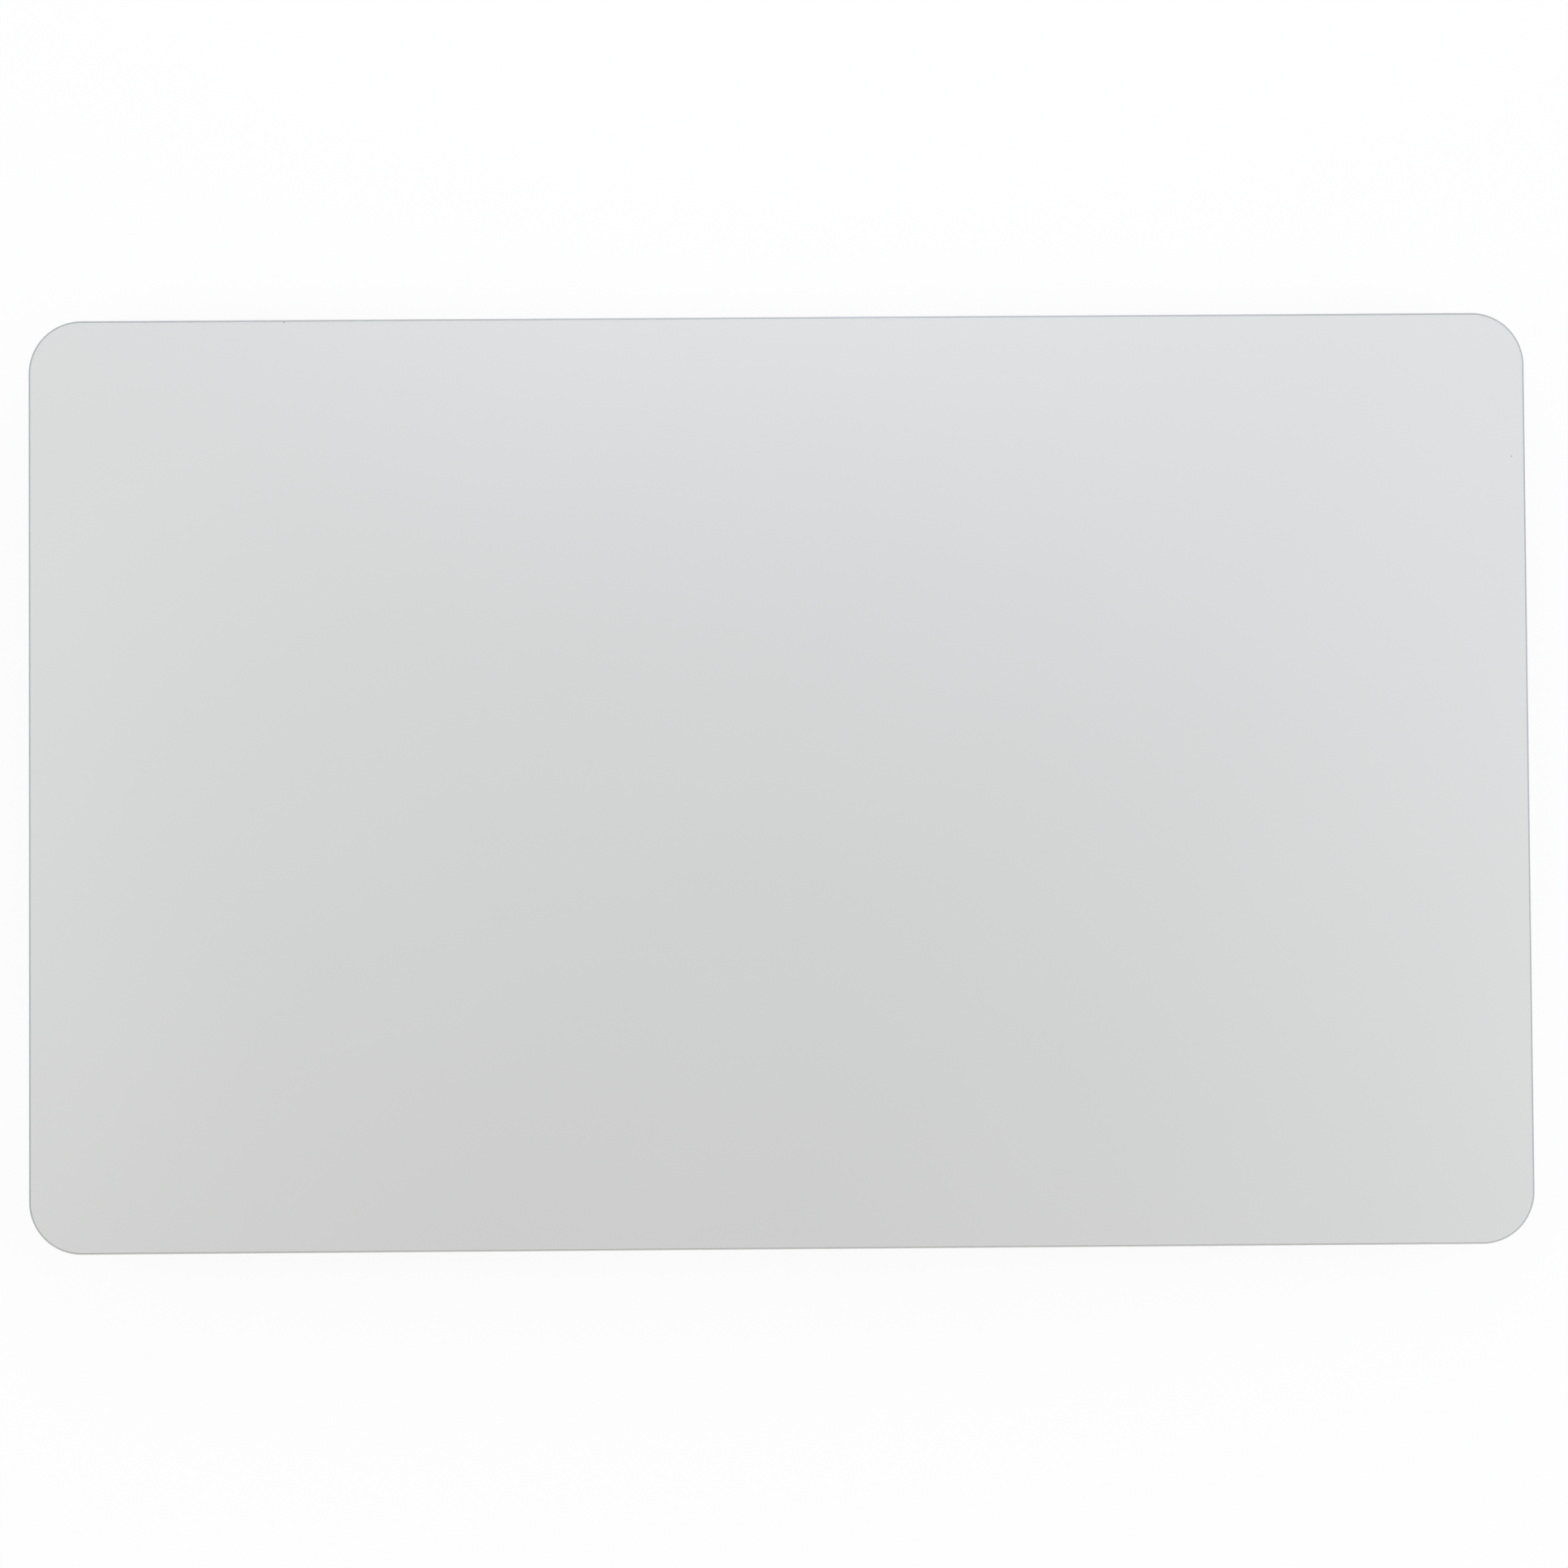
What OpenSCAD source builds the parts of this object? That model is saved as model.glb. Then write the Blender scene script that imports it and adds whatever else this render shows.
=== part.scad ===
// Laptop trackpad module. A glass touch plate rides on four force-sensing leaf beams,
// and an electromagnet under it nudges the plate from front to back for a click.
// Millimetres. X runs to the right, Y away from the user, Z up out of the glass.
// The origin is under the middle of the pad, on the plane of the mounting posts.

/* [Touch plate] */
// Width of the cover glass, left to right
pad_w = 134; // [118:0.5:160]
// Depth of the cover glass, front to back
pad_d = 83.3; // [74:0.1:100]
// Radius of the glass corners seen from above
corner_r = 4.7; // [3:0.1:8]
// Thickness of the cover glass
glass_t = 0.9; // [0.6:0.05:1.4]
// Radius of the ground top rim of the glass
glass_rim = 0.2; // [0.05:0.01:0.3]
// Radius of the ground bottom rim of the glass
glass_back_rim = 0.12; // [0.05:0.01:0.25]
// Thickness of the bonding sheet between glass and board
bond_t = 0.1; // [0.05:0.01:0.2]
// Distance of the bonding sheet inside the glass outline
bond_inset = 0.7; // [0.4:0.1:2]
// Thickness of the touch board
board_t = 0.8; // [0.6:0.05:1.2]
// Distance of the touch board inside the glass outline
board_inset = 1.2; // [0.8:0.1:2.5]
// Thickness of the insulating film on the board
film_t = 0.12; // [0.05:0.01:0.2]
// Space between the film and the pieces around it
film_gap = 2; // [1:0.1:4]
// Corner radius of the film
film_r = 2; // [0.5:0.1:4]
// Diameter of the two windows punched in the film
film_window_d = 7; // [3:0.5:10]

/* [Force suspension] */
// Thickness of the leaf beams
beam_t = 0.3; // [0.2:0.02:0.5]
// Width of a leaf beam at its clamp and its tip
beam_w = 9; // [7:0.1:11]
// Length of a leaf beam between rail and foot
beam_free = 7; // [5:0.1:10]
// Width of a leaf beam at its waist
beam_waist = 5; // [4:0.1:6.5]
// Corner radius of the beams, clamp plates and foot plates
beam_r = 0.8; // [0.3:0.1:0.9]
// Length of a leaf beam under its clamp plate
clamp_l = 8; // [6:0.1:9.5]
// Thickness of the clamp plates
clamp_t = 0.4; // [0.3:0.02:0.5]
// Distance between the two screws of a clamp
clamp_pitch = 5.4; // [4:0.1:7]
// Length of the foot at a beam tip
foot_l = 8.4; // [7:0.1:10]
// Thickness of the foot plates
foot_t = 0.5; // [0.3:0.05:0.8]
// Distance from a beam tip to the board edge
tip_margin = 1.4; // [1:0.1:4]
// Distance from the side of a beam to the front or back board edge
side_margin = 7.95; // [6:0.05:12]
// Thickness of the gel pads
gel_t = 0.5; // [0.4:0.05:0.8]
// Diameter of the gel pads
gel_d = 7; // [5:0.1:8]
// Length of a strain gauge along its beam
gauge_l = 4; // [3:0.1:5]
// Width of a strain gauge across its beam
gauge_w = 4.2; // [3:0.1:5]
// Thickness of the strain gauges and their tails
gauge_t = 0.08; // [0.05:0.01:0.15]
// Width of a gauge tail
tail_w = 2.6; // [1.5:0.1:3.5]
// Distance over which a gauge tail climbs to the board
tail_run = 2.4; // [1.5:0.1:4]
// Length of a gauge tail soldered to the board
tail_land = 3; // [2:0.1:5]
// Diameter of the foot rivets
rivet_d = 1.6; // [1:0.1:2.4]
// Diameter of the foot rivet heads
rivet_head_d = 3; // [2.4:0.1:4.5]
// Height of the foot rivet heads
rivet_head_h = 0.35; // [0.2:0.05:0.6]

/* [Mounting frame] */
// Width of the left and right rails
rail_w = 10; // [9:0.1:12]
// Thickness of the rails
rail_t = 1; // [0.8:0.05:1.5]
// Corner radius of the rails
rail_r = 1.5; // [0.5:0.1:3]
// Distance from a rail end to the front or back board edge
rail_end = 1.45; // [0.5:0.05:4]
// Thickness of the stiffening lips on rails and bridge
lip_t = 0.6; // [0.4:0.05:0.8]
// Height of the rail lips above the rails
rail_lip_h = 0.6; // [0.3:0.05:0.7]
// Height of the rails above the mounting plane
post_drop = 0.9; // [0.75:0.05:1.5]
// Diameter of the mounting posts
post_d = 4; // [3.4:0.1:5]
// Diameter of the post shanks pressed into the rails
shank_d = 3; // [2.4:0.1:3.2]
// Diameter of the post noses that hold the shims
nose_d = 2.6; // [2.2:0.1:3.2]
// Diameter of the thread bores in the posts
thread_d = 1.6; // [1.2:0.1:2]
// Distance from a rail end to the corner posts
post_end = 3; // [2.6:0.1:5]
// Distance of the middle posts from the centre line
mid_post_y = 16; // [14:0.5:18]
// Thickness of the shim washers
shim_t = 0.2; // [0.1:0.05:0.4]
// Outer diameter of the shim washers
shim_d = 4.6; // [4:0.1:6]
// Thickness of the bridge
bridge_t = 0.6; // [0.5:0.05:0.7]
// Depth of the bridge, front to back
bridge_d = 10; // [9:0.1:11.5]
// Height of the bridge lip
bridge_lip_h = 1.4; // [0.8:0.1:1.6]
// Width of the slots in the bridge
bridge_slot_w = 2.6; // [1.5:0.1:3.5]
// Length of the slots in the bridge
bridge_slot_l = 11; // [6:0.5:13]
// Number of slots in the bridge
bridge_slots = 5; // [3:1:5]
// Distance between neighbouring slots in the bridge
bridge_slot_pitch = 14.5; // [14:0.1:15]
// Diameter of the bump stops
bump_d = 3; // [2:0.1:4]
// Distance of the bump stops from the centre line
bump_y = 7; // [4:0.5:11]
// Room left over the bump stops at full press
bump_gap = 0.1; // [0.05:0.01:0.2]

/* [Haptic drive] */
// Front face of the magnet core, from the centre line
drive_y = -9; // [-12:0.1:-8]
// Number of teeth on the magnet core
tooth_count = 4; // [2:1:5]
// Distance between neighbouring teeth
tooth_pitch = 12.4; // [11.5:0.1:13]
// Width of a tooth
tooth_w = 8.5; // [6:0.1:9]
// Height of a tooth
tooth_h = 1; // [0.8:0.05:1]
// Length of a tooth in front of the yoke
tooth_l = 6.8; // [5:0.1:7.5]
// Depth of the yoke behind the teeth
yoke_d = 2.8; // [2.4:0.1:3.5]
// Length of the yoke past the outer teeth
yoke_over = 1.2; // [0.5:0.1:2]
// Height of the yoke
core_h = 2.1; // [1.9:0.05:2.2]
// Length of the mounting ears at the yoke ends
ear_l = 5; // [4:0.1:6]
// Thickness of the pad between core and board
core_pad_t = 0.3; // [0.2:0.05:0.4]
// Distance between the teeth and the armature bar
air_gap = 0.5; // [0.35:0.05:0.8]
// Depth of the armature bar
armature_d = 2.5; // [2.2:0.1:3.2]
// Distance between the armature screws
armature_pitch = 17; // [14:0.5:20]
// Thread depth of the armature screws
armature_thread = 1.2; // [0.8:0.1:1.4]
// Build of the wire on each drive coil
coil_wall = 0.55; // [0.3:0.05:0.6]
// Wall of the bobbin sleeves
bobbin_wall = 0.15; // [0.1:0.01:0.2]
// Thickness of the bobbin flanges
bobbin_flange = 0.3; // [0.2:0.05:0.5]
// Thickness of the coil flex
flex_t = 0.1; // [0.06:0.01:0.15]
// Width of the coil flex tail
flex_w = 3; // [2:0.1:3.4]
// Distance of the coil flex tail from the yoke face
flex_bend = 0.4; // [0.2:0.05:1]

/* [Board electronics] */
// Middle of the chip row, from the centre line
chip_row_y = 22.5; // [21:0.1:24]
// Space between neighbours in the chip row
chip_gap = 3.6; // [2:0.1:4.5]
// Width of the shield can
shield_w = 15; // [12:0.5:18]
// Depth of the shield can
shield_d = 10; // [9:0.5:11]
// Height of the shield can
shield_h = 1.1; // [0.9:0.05:1.4]
// Wall of the shield can
shield_wall = 0.15; // [0.1:0.01:0.25]
// Width of the force amplifier under the shield can
amp_w = 5; // [3:0.1:8]
// Depth of the force amplifier
amp_d = 4; // [3:0.1:7]
// Height of the force amplifier
amp_h = 0.7; // [0.5:0.05:0.75]
// Side of the touch controller
touch_chip_w = 8; // [5:0.1:9]
// Side of the microcontroller
micro_w = 7; // [5:0.1:9]
// Height of the touch controller and microcontroller
chip_h = 0.85; // [0.6:0.05:1.2]
// Side of the haptic driver
driver_w = 5; // [3:0.1:7]
// Height of the haptic driver
driver_h = 0.75; // [0.6:0.05:1.2]
// Side of the boost inductor
inductor_w = 4.4; // [3:0.1:6]
// Height of the boost inductor
inductor_h = 1.4; // [1:0.05:1.6]
// Number of chip capacitors
cap_count = 24; // [8:2:26]
// Distance between neighbouring chip capacitors
cap_pitch = 2.3; // [1.6:0.1:2.5]
// Length of a chip capacitor
cap_l = 1; // [0.8:0.1:1.4]
// Width and height of a chip capacitor
cap_w = 0.5; // [0.3:0.05:0.6]
// Number of chip resistors
res_count = 20; // [8:2:24]
// Distance between neighbouring chip resistors
res_pitch = 2.7; // [1.6:0.1:2.9]
// Length of a chip resistor
res_l = 1; // [0.8:0.1:1.4]
// Width of a chip resistor
res_w = 0.5; // [0.3:0.05:0.6]
// Height of a chip resistor
res_h = 0.35; // [0.25:0.05:0.5]
// Space between the shield can and the rows of small parts
row_gap = 1.2; // [0.8:0.1:1.6]
// Number of bulk capacitors
bulk_count = 3; // [1:1:3]
// Distance between neighbouring bulk capacitors
bulk_pitch = 6; // [4.5:0.1:7]
// Length of a bulk capacitor
bulk_l = 3.2; // [2.5:0.1:4]
// Width of a bulk capacitor
bulk_w = 2.5; // [1.6:0.1:3]
// Height of a bulk capacitor
bulk_h = 1.4; // [1:0.05:1.6]
// Middle of the row of bulk capacitors, left of the centre line
bulk_x = -12; // [-16:0.5:-10]

/* [Sockets and latches] */
// Distance between neighbouring contacts
contact_pitch = 0.5; // [0.4:0.05:0.6]
// Width of a contact
contact_w = 0.22; // [0.15:0.01:0.3]
// Length of a contact outside its socket
contact_tail = 0.5; // [0.3:0.05:0.8]
// Number of contacts in the cable socket
cable_ways = 24; // [10:1:30]
// Number of contacts in the coil socket
coil_ways = 8; // [6:1:12]
// Depth of the sockets, from cable mouth to back
socket_d = 3.8; // [3.6:0.1:4.5]
// Height of the sockets
socket_h = 1.1; // [1.05:0.05:1.3]
// Height of the contacts under the sockets
socket_lift = 0.2; // [0.1:0.01:0.22]
// Wall of the sockets beside the latch
socket_wall = 0.8; // [0.6:0.05:1.2]
// Floor of the cable slot above the contacts
slot_floor = 0.15; // [0.1:0.01:0.2]
// Height of the cable slot
slot_h = 0.35; // [0.25:0.01:0.4]
// Depth of the cable slot
slot_depth = 2; // [1.5:0.1:2.1]
// Length of the latches
latch_l = 1.5; // [1.2:0.05:1.6]
// Thickness of the latches
latch_t = 0.7; // [0.5:0.05:0.75]
// Diameter of the latch pins
pin_d = 0.4; // [0.3:0.02:0.44]
// Middle of the cable socket, from the centre line
cable_x = -14; // [-22:0.5:22]
// Distance from the cable mouth to the back board edge
cable_setback = 2; // [1:0.1:3]
// Middle of the coil socket, from the centre line
coil_x = 12.4; // [8:0.1:18]
// Distance from the yoke face to the coil socket
coil_run = 4; // [2.5:0.1:5]

/* [Fasteners] */
// Diameter of the screws
screw_d = 1.2; // [1:0.05:1.4]
// Diameter of the screw heads
head_d = 2.2; // [1.8:0.05:2.4]
// Height of the countersunk heads
sunk_h = 0.4; // [0.3:0.02:0.45]
// Height of the flat heads on the core screws
head_h = 0.4; // [0.3:0.02:0.5]
// Thread depth of the bridge screws
bridge_thread = 0.8; // [0.5:0.05:0.8]
// Distance from the bridge edges to its screws
bridge_screw_edge = 2.2; // [1.6:0.1:3]
// Board left over the core screws
board_skin = 0.2; // [0.1:0.05:0.4]

/* [Travel and clearances] */
// How far the touch plate sinks under a full press
press_travel = 0.25; // [0.1:0.05:0.25]
// Room around pins, screws and pressed shanks
fit = 0.05; // [0.02:0.01:0.06]

/* [Hidden] */
$fn = 64;
// Overshoot of cutting shapes past the face that they cut
cut = 0.1;
// Steps in each ground rim of the glass
rim_steps = 4;

// Heights, from the mounting plane up
rail_z0 = post_drop;
rail_z1 = rail_z0 + rail_t;
beam_z1 = rail_z1 + beam_t;
foot_z1 = beam_z1 + foot_t;
board_z0 = foot_z1 + gel_t;
board_z1 = board_z0 + board_t;
glass_z0 = board_z1 + bond_t;
bridge_z0 = rail_z0 - bridge_t;
core_z1 = board_z0 - core_pad_t;
core_z0 = core_z1 - core_h;
core_mid_z = (core_z0 + core_z1) / 2;
armature_h = 2 * (core_mid_z - rail_z0);
bump_h = board_z0 - press_travel - bump_gap - rail_z1;

// Board and suspension in plan
board_w = pad_w - 2 * board_inset;
board_d = pad_d - 2 * board_inset;
board_r = corner_r - board_inset;
tip_x = board_w / 2 - tip_margin;
foot_x = tip_x - foot_l / 2;
rail_out = tip_x - foot_l - beam_free;
rail_in = rail_out - rail_w;
rail_x = (rail_in + rail_out) / 2;
rail_l = board_d - 2 * rail_end;
beam_y = board_d / 2 - side_margin - beam_w / 2;
beam_l = clamp_l + beam_free + foot_l;
waist_cut = (beam_w - beam_waist) / 2;
waist_x = rail_out + beam_free / 2;
clamp_x = rail_out - clamp_l / 2;
post_y = rail_l / 2 - post_end;
rail_lip_l = 2 * (mid_post_y - post_d);

// Haptic drive in plan
yoke_l = (tooth_count - 1) * tooth_pitch + tooth_w + 2 * yoke_over;
core_l = yoke_l + 2 * ear_l;
tooth_y0 = drive_y + yoke_d;
tooth_y1 = tooth_y0 + tooth_l;
armature_y0 = tooth_y1 + air_gap;
bridge_y = armature_y0 + bridge_d / 2;
bridge_slot_y = (armature_y0 + armature_d + armature_y0 + bridge_d - lip_t) / 2;
core_screw_x = yoke_l / 2 + ear_l / 2;
core_screw_y = drive_y + yoke_d / 2;
sleeve_w = tooth_w + 2 * (fit + bobbin_wall);
sleeve_h = tooth_h + 2 * (fit + bobbin_wall);
sleeve_l = tooth_l - fit;
coil_r = coil_wall + bobbin_wall;

// Sockets, in their own frame with the mouth at y = 0 and the board at z = 0
slot_z = socket_lift + slot_floor;
hinge_y = socket_d - latch_l + latch_t / 2;
hinge_z = socket_h - latch_t / 2;
cable_mouth_y = board_d / 2 - cable_setback;
coil_mouth_y = drive_y - coil_run;

// Board electronics in plan
chip_widths = [shield_w, touch_chip_w, micro_w, driver_w, inductor_w];
cap_row_y = chip_row_y - shield_d / 2 - row_gap;
res_row_y = chip_row_y + shield_d / 2 + row_gap;
bulk_y = coil_mouth_y - bulk_w / 2;
film_y0 = -board_d / 2 + film_gap;
film_y1 = coil_mouth_y - socket_d - contact_tail - film_gap;
film_w = 2 * (rail_in - film_gap);

// Sum of the first n entries of a list
function sum_first(list, n) = n == 0 ? 0 : list[n - 1] + sum_first(list, n - 1);

// Middle of one place in the chip row, which is centred on the board
function chip_x(i) =
  sum_first(chip_widths, i) + i * chip_gap + chip_widths[i] / 2
  - (sum_first(chip_widths, len(chip_widths)) + (len(chip_widths) - 1) * chip_gap) / 2;

// Places of n things in a row about zero
function spread(n, pitch) = [for (i = [0 : n - 1]) (i - (n - 1) / 2) * pitch];

// Width of a socket with this many contacts, and of the latch in it
function latch_w(ways) = ways * contact_pitch + contact_pitch;
function socket_w(ways) = latch_w(ways) + 2 * (fit + socket_wall);

// Outline of a ribbon of thickness t along a path of points in a plane
function unit(v) = v / norm(v);
function left_of(v) = [-v[1], v[0]];
function side(p, i) = left_of(unit(p[i + 1] - p[i]));
function corner(a, b) = unit(a + b) / (unit(a + b) * a);
function offset_dir(p, i) =
  i == 0 ? side(p, 0)
  : i == len(p) - 1 ? side(p, i - 1)
  : corner(side(p, i - 1), side(p, i));
function ribbon(p, t) = concat(
  [for (i = [0 : len(p) - 1]) p[i] + offset_dir(p, i) * t / 2],
  [for (i = [len(p) - 1 : -1 : 0]) p[i] - offset_dir(p, i) * t / 2]
);

// Half profile of a plate with rounded rims, from its middle out to half
function rim_profile(half, t, top, bottom) = concat(
  [[0, 0]],
  [for (i = [0 : rim_steps])
    let (a = -90 + 90 * i / rim_steps) [half - bottom + bottom * cos(a), bottom + bottom * sin(a)]],
  [for (i = [0 : rim_steps])
    let (a = 90 * i / rim_steps) [half - top + top * cos(a), t - top + top * sin(a)]],
  [[0, t]]
);
function mirrored(p) = concat(p, [for (i = [len(p) - 1 : -1 : 0]) [-p[i][0], p[i][1]]]);

// Shared shapes

module rounded_rect(w, d, r) {
  square([w - 2 * r, d], center = true);
  square([w, d - 2 * r], center = true);
  for (x = [-1, 1], y = [-1, 1])
    translate([x * (w / 2 - r), y * (d / 2 - r)])
      circle(r);
}

module plate(w, d, r, t) {
  linear_extrude(t)
    rounded_rect(w, d, r);
}

module slot_shape(l, w) {
  square([l - w, w], center = true);
  for (x = [-1, 1])
    translate([x * (l - w) / 2, 0])
      circle(d = w);
}

module block(w, d, h) {
  translate([-w / 2, -d / 2, 0])
    cube([w, d, h]);
}

// A rounded plate whose top and bottom rims are rounded all the way round
module rimmed_plate(w, d, r, t, top, bottom) {
  rotate([90, 0, 90])
    linear_extrude(w - 2 * r, center = true)
      polygon(mirrored(rim_profile(d / 2, t, top, bottom)));
  rotate([90, 0, 0])
    linear_extrude(d - 2 * r, center = true)
      polygon(mirrored(rim_profile(w / 2, t, top, bottom)));
  for (x = [-1, 1], y = [-1, 1])
    translate([x * (w / 2 - r), y * (d / 2 - r), 0])
      rotate_extrude()
        polygon(rim_profile(r, t, top, bottom));
}

// Repeats a piece of the back right corner in any corner of the pad
module in_corner(sx, sy) {
  mirror([sx < 0 ? 1 : 0, 0, 0])
    mirror([0, sy < 0 ? 1 : 0, 0])
      children();
}

module in_corners() {
  for (sx = [-1, 1], sy = [-1, 1])
    in_corner(sx, sy)
      children();
}

// Stands a piece upside down under the board, with its mouth towards the back
module under_board(x, y) {
  translate([x, y, board_z0])
    rotate([180, 0, 0])
      children();
}

// A countersunk screw with its head flush at z = 0, and the hole for it
module sunk_screw(l) {
  cylinder(h = sunk_h, d1 = head_d, d2 = screw_d);
  cylinder(h = l, d = screw_d);
}

module sunk_hole(l) {
  translate([0, 0, -cut])
    cylinder(h = l + cut, d = screw_d + 2 * fit);
  cylinder(h = sunk_h, d1 = head_d + 2 * fit, d2 = screw_d + 2 * fit);
}

module at_clamp_screws() {
  for (y = spread(2, clamp_pitch))
    translate([clamp_x, beam_y + y, 0])
      children();
}

module at_bridge_screws() {
  for (x = [-rail_x, rail_x], y = spread(2, bridge_d - 2 * bridge_screw_edge))
    translate([x, bridge_y + y, 0])
      children();
}

module at_armature_screws() {
  for (x = spread(3, armature_pitch))
    translate([x, armature_y0 + armature_d / 2, 0])
      children();
}

module at_core_screws() {
  for (x = [-core_screw_x, core_screw_x])
    translate([x, core_screw_y, 0])
      children();
}

module at_posts() {
  for (x = [-rail_x, rail_x], y = [-post_y, -mid_post_y, mid_post_y, post_y])
    translate([x, y, 0])
      children();
}

// Touch plate

module cover_glass() {
  color([0.84, 0.84, 0.84])
    translate([0, 0, glass_z0])
      rimmed_plate(pad_w, pad_d, corner_r, glass_t, glass_rim, glass_back_rim);
}

module bond_sheet() {
  color([0.92, 0.92, 0.9])
    translate([0, 0, board_z1])
      plate(pad_w - 2 * bond_inset, pad_d - 2 * bond_inset, corner_r - bond_inset, bond_t);
}

module touch_board() {
  color([0.06, 0.07, 0.08])
    difference() {
      translate([0, 0, board_z0])
        plate(board_w, board_d, board_r, board_t);
      at_core_screws()
        translate([0, 0, board_z0 - cut])
          cylinder(h = board_t - board_skin + cut, d = screw_d);
    }
}

module insulator_film() {
  film_d = film_y1 - film_y0;
  color([0.05, 0.05, 0.05])
    translate([0, (film_y0 + film_y1) / 2, board_z0 - film_t])
      linear_extrude(film_t)
        difference() {
          rounded_rect(film_w, film_d, film_r);
          for (x = spread(2, film_w / 2))
            translate([x, 0])
              circle(d = film_window_d);
        }
}

// Board electronics

module shield_can() {
  color([0.78, 0.78, 0.76])
    under_board(chip_x(0), chip_row_y)
      difference() {
        block(shield_w, shield_d, shield_h);
        translate([0, 0, -cut])
          block(shield_w - 2 * shield_wall, shield_d - 2 * shield_wall, shield_h - shield_wall + cut);
      }
}

module force_amplifier() {
  color([0.1, 0.1, 0.1])
    under_board(chip_x(0), chip_row_y)
      block(amp_w, amp_d, amp_h);
}

module touch_controller() {
  color([0.08, 0.08, 0.09])
    under_board(chip_x(1), chip_row_y)
      block(touch_chip_w, touch_chip_w, chip_h);
}

module microcontroller() {
  color([0.1, 0.1, 0.1])
    under_board(chip_x(2), chip_row_y)
      block(micro_w, micro_w, chip_h);
}

module haptic_driver() {
  color([0.09, 0.09, 0.1])
    under_board(chip_x(3), chip_row_y)
      block(driver_w, driver_w, driver_h);
}

module boost_inductor() {
  color([0.25, 0.25, 0.26])
    under_board(chip_x(4), chip_row_y)
      block(inductor_w, inductor_w, inductor_h);
}

module chip_capacitors() {
  color([0.62, 0.5, 0.36])
    for (x = spread(cap_count, cap_pitch))
      under_board(x, cap_row_y)
        block(cap_w, cap_l, cap_w);
}

module chip_resistors() {
  color([0.12, 0.12, 0.13])
    for (x = spread(res_count, res_pitch))
      under_board(x, res_row_y)
        block(res_w, res_l, res_h);
}

module bulk_capacitors() {
  color([0.66, 0.55, 0.4])
    for (x = spread(bulk_count, bulk_pitch))
      under_board(bulk_x + x, bulk_y)
        block(bulk_l, bulk_w, bulk_h);
}

// Sockets and latches

module socket_body(ways) {
  w = socket_w(ways);
  notch_w = latch_w(ways) + 2 * fit;
  notch_y = hinge_y - latch_t / 2 - fit;
  notch_z = socket_h - latch_t - fit;
  difference() {
    union() {
      translate([-w / 2, 0, socket_lift])
        cube([w, socket_d, socket_h - socket_lift]);
      for (x = [-w / 2, w / 2 - socket_wall])
        translate([x, 0, 0])
          cube([socket_wall, socket_d, socket_h]);
    }
    translate([-ways * contact_pitch / 2, -cut, slot_z])
      cube([ways * contact_pitch, slot_depth + cut, slot_h]);
    translate([-notch_w / 2, notch_y, notch_z])
      cube([notch_w, socket_d - notch_y + cut, latch_t + fit + cut]);
    translate([0, hinge_y, hinge_z])
      rotate([0, 90, 0])
        cylinder(h = w + 2 * cut, d = pin_d + 2 * fit, center = true);
  }
}

module latch_body(ways) {
  w = latch_w(ways);
  translate([-w / 2, hinge_y, hinge_z - latch_t / 2])
    cube([w, socket_d - hinge_y, latch_t]);
  translate([0, hinge_y, hinge_z])
    rotate([0, 90, 0]) {
      cylinder(h = w, d = latch_t, center = true);
      cylinder(h = w + 2 * socket_wall, d = pin_d, center = true);
    }
}

module contact_row(ways) {
  for (x = spread(ways, contact_pitch))
    translate([x - contact_w / 2, -contact_tail, 0])
      cube([contact_w, socket_d + 2 * contact_tail, socket_lift]);
}

module cable_socket() {
  color([0.85, 0.8, 0.68])
    under_board(cable_x, cable_mouth_y)
      socket_body(cable_ways);
}

module cable_contacts() {
  color([0.86, 0.7, 0.36])
    under_board(cable_x, cable_mouth_y)
      contact_row(cable_ways);
}

module cable_latch() {
  color([0.12, 0.12, 0.12])
    under_board(cable_x, cable_mouth_y)
      latch_body(cable_ways);
}

module coil_socket() {
  color([0.85, 0.8, 0.68])
    under_board(coil_x, coil_mouth_y)
      socket_body(coil_ways);
}

module coil_contacts() {
  color([0.86, 0.7, 0.36])
    under_board(coil_x, coil_mouth_y)
      contact_row(coil_ways);
}

module coil_latch() {
  color([0.12, 0.12, 0.12])
    under_board(coil_x, coil_mouth_y)
      latch_body(coil_ways);
}

// A strip glued under the yoke, with a tail that bends up into the coil socket
module coil_flex() {
  strip_z = core_z0 - flex_t / 2;
  slot_mid_z = board_z0 - slot_z - slot_h / 2;
  tail = [
    [core_screw_y, strip_z],
    [drive_y - flex_bend, strip_z],
    [drive_y - flex_bend, slot_mid_z],
    [coil_mouth_y - slot_depth + fit, slot_mid_z]
  ];
  color([0.72, 0.42, 0.12]) {
    translate([0, core_screw_y, core_z0 - flex_t])
      block(yoke_l - 2 * yoke_over, yoke_d - 2 * flex_bend, flex_t);
    translate([coil_x - flex_w / 2, 0, 0])
      rotate([90, 0, 90])
        linear_extrude(flex_w)
          polygon(ribbon(tail, flex_t));
  }
}

// Haptic drive

module magnet_core() {
  color([0.42, 0.42, 0.44])
    difference() {
      union() {
        translate([-core_l / 2, drive_y, core_z0])
          cube([core_l, yoke_d, core_h]);
        for (x = spread(tooth_count, tooth_pitch))
          translate([x - tooth_w / 2, drive_y, core_mid_z - tooth_h / 2])
            cube([tooth_w, yoke_d + tooth_l, tooth_h]);
      }
      at_core_screws()
        translate([0, 0, core_z0 - cut])
          cylinder(h = core_h + 2 * cut, d = screw_d + 2 * fit);
    }
}

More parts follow.
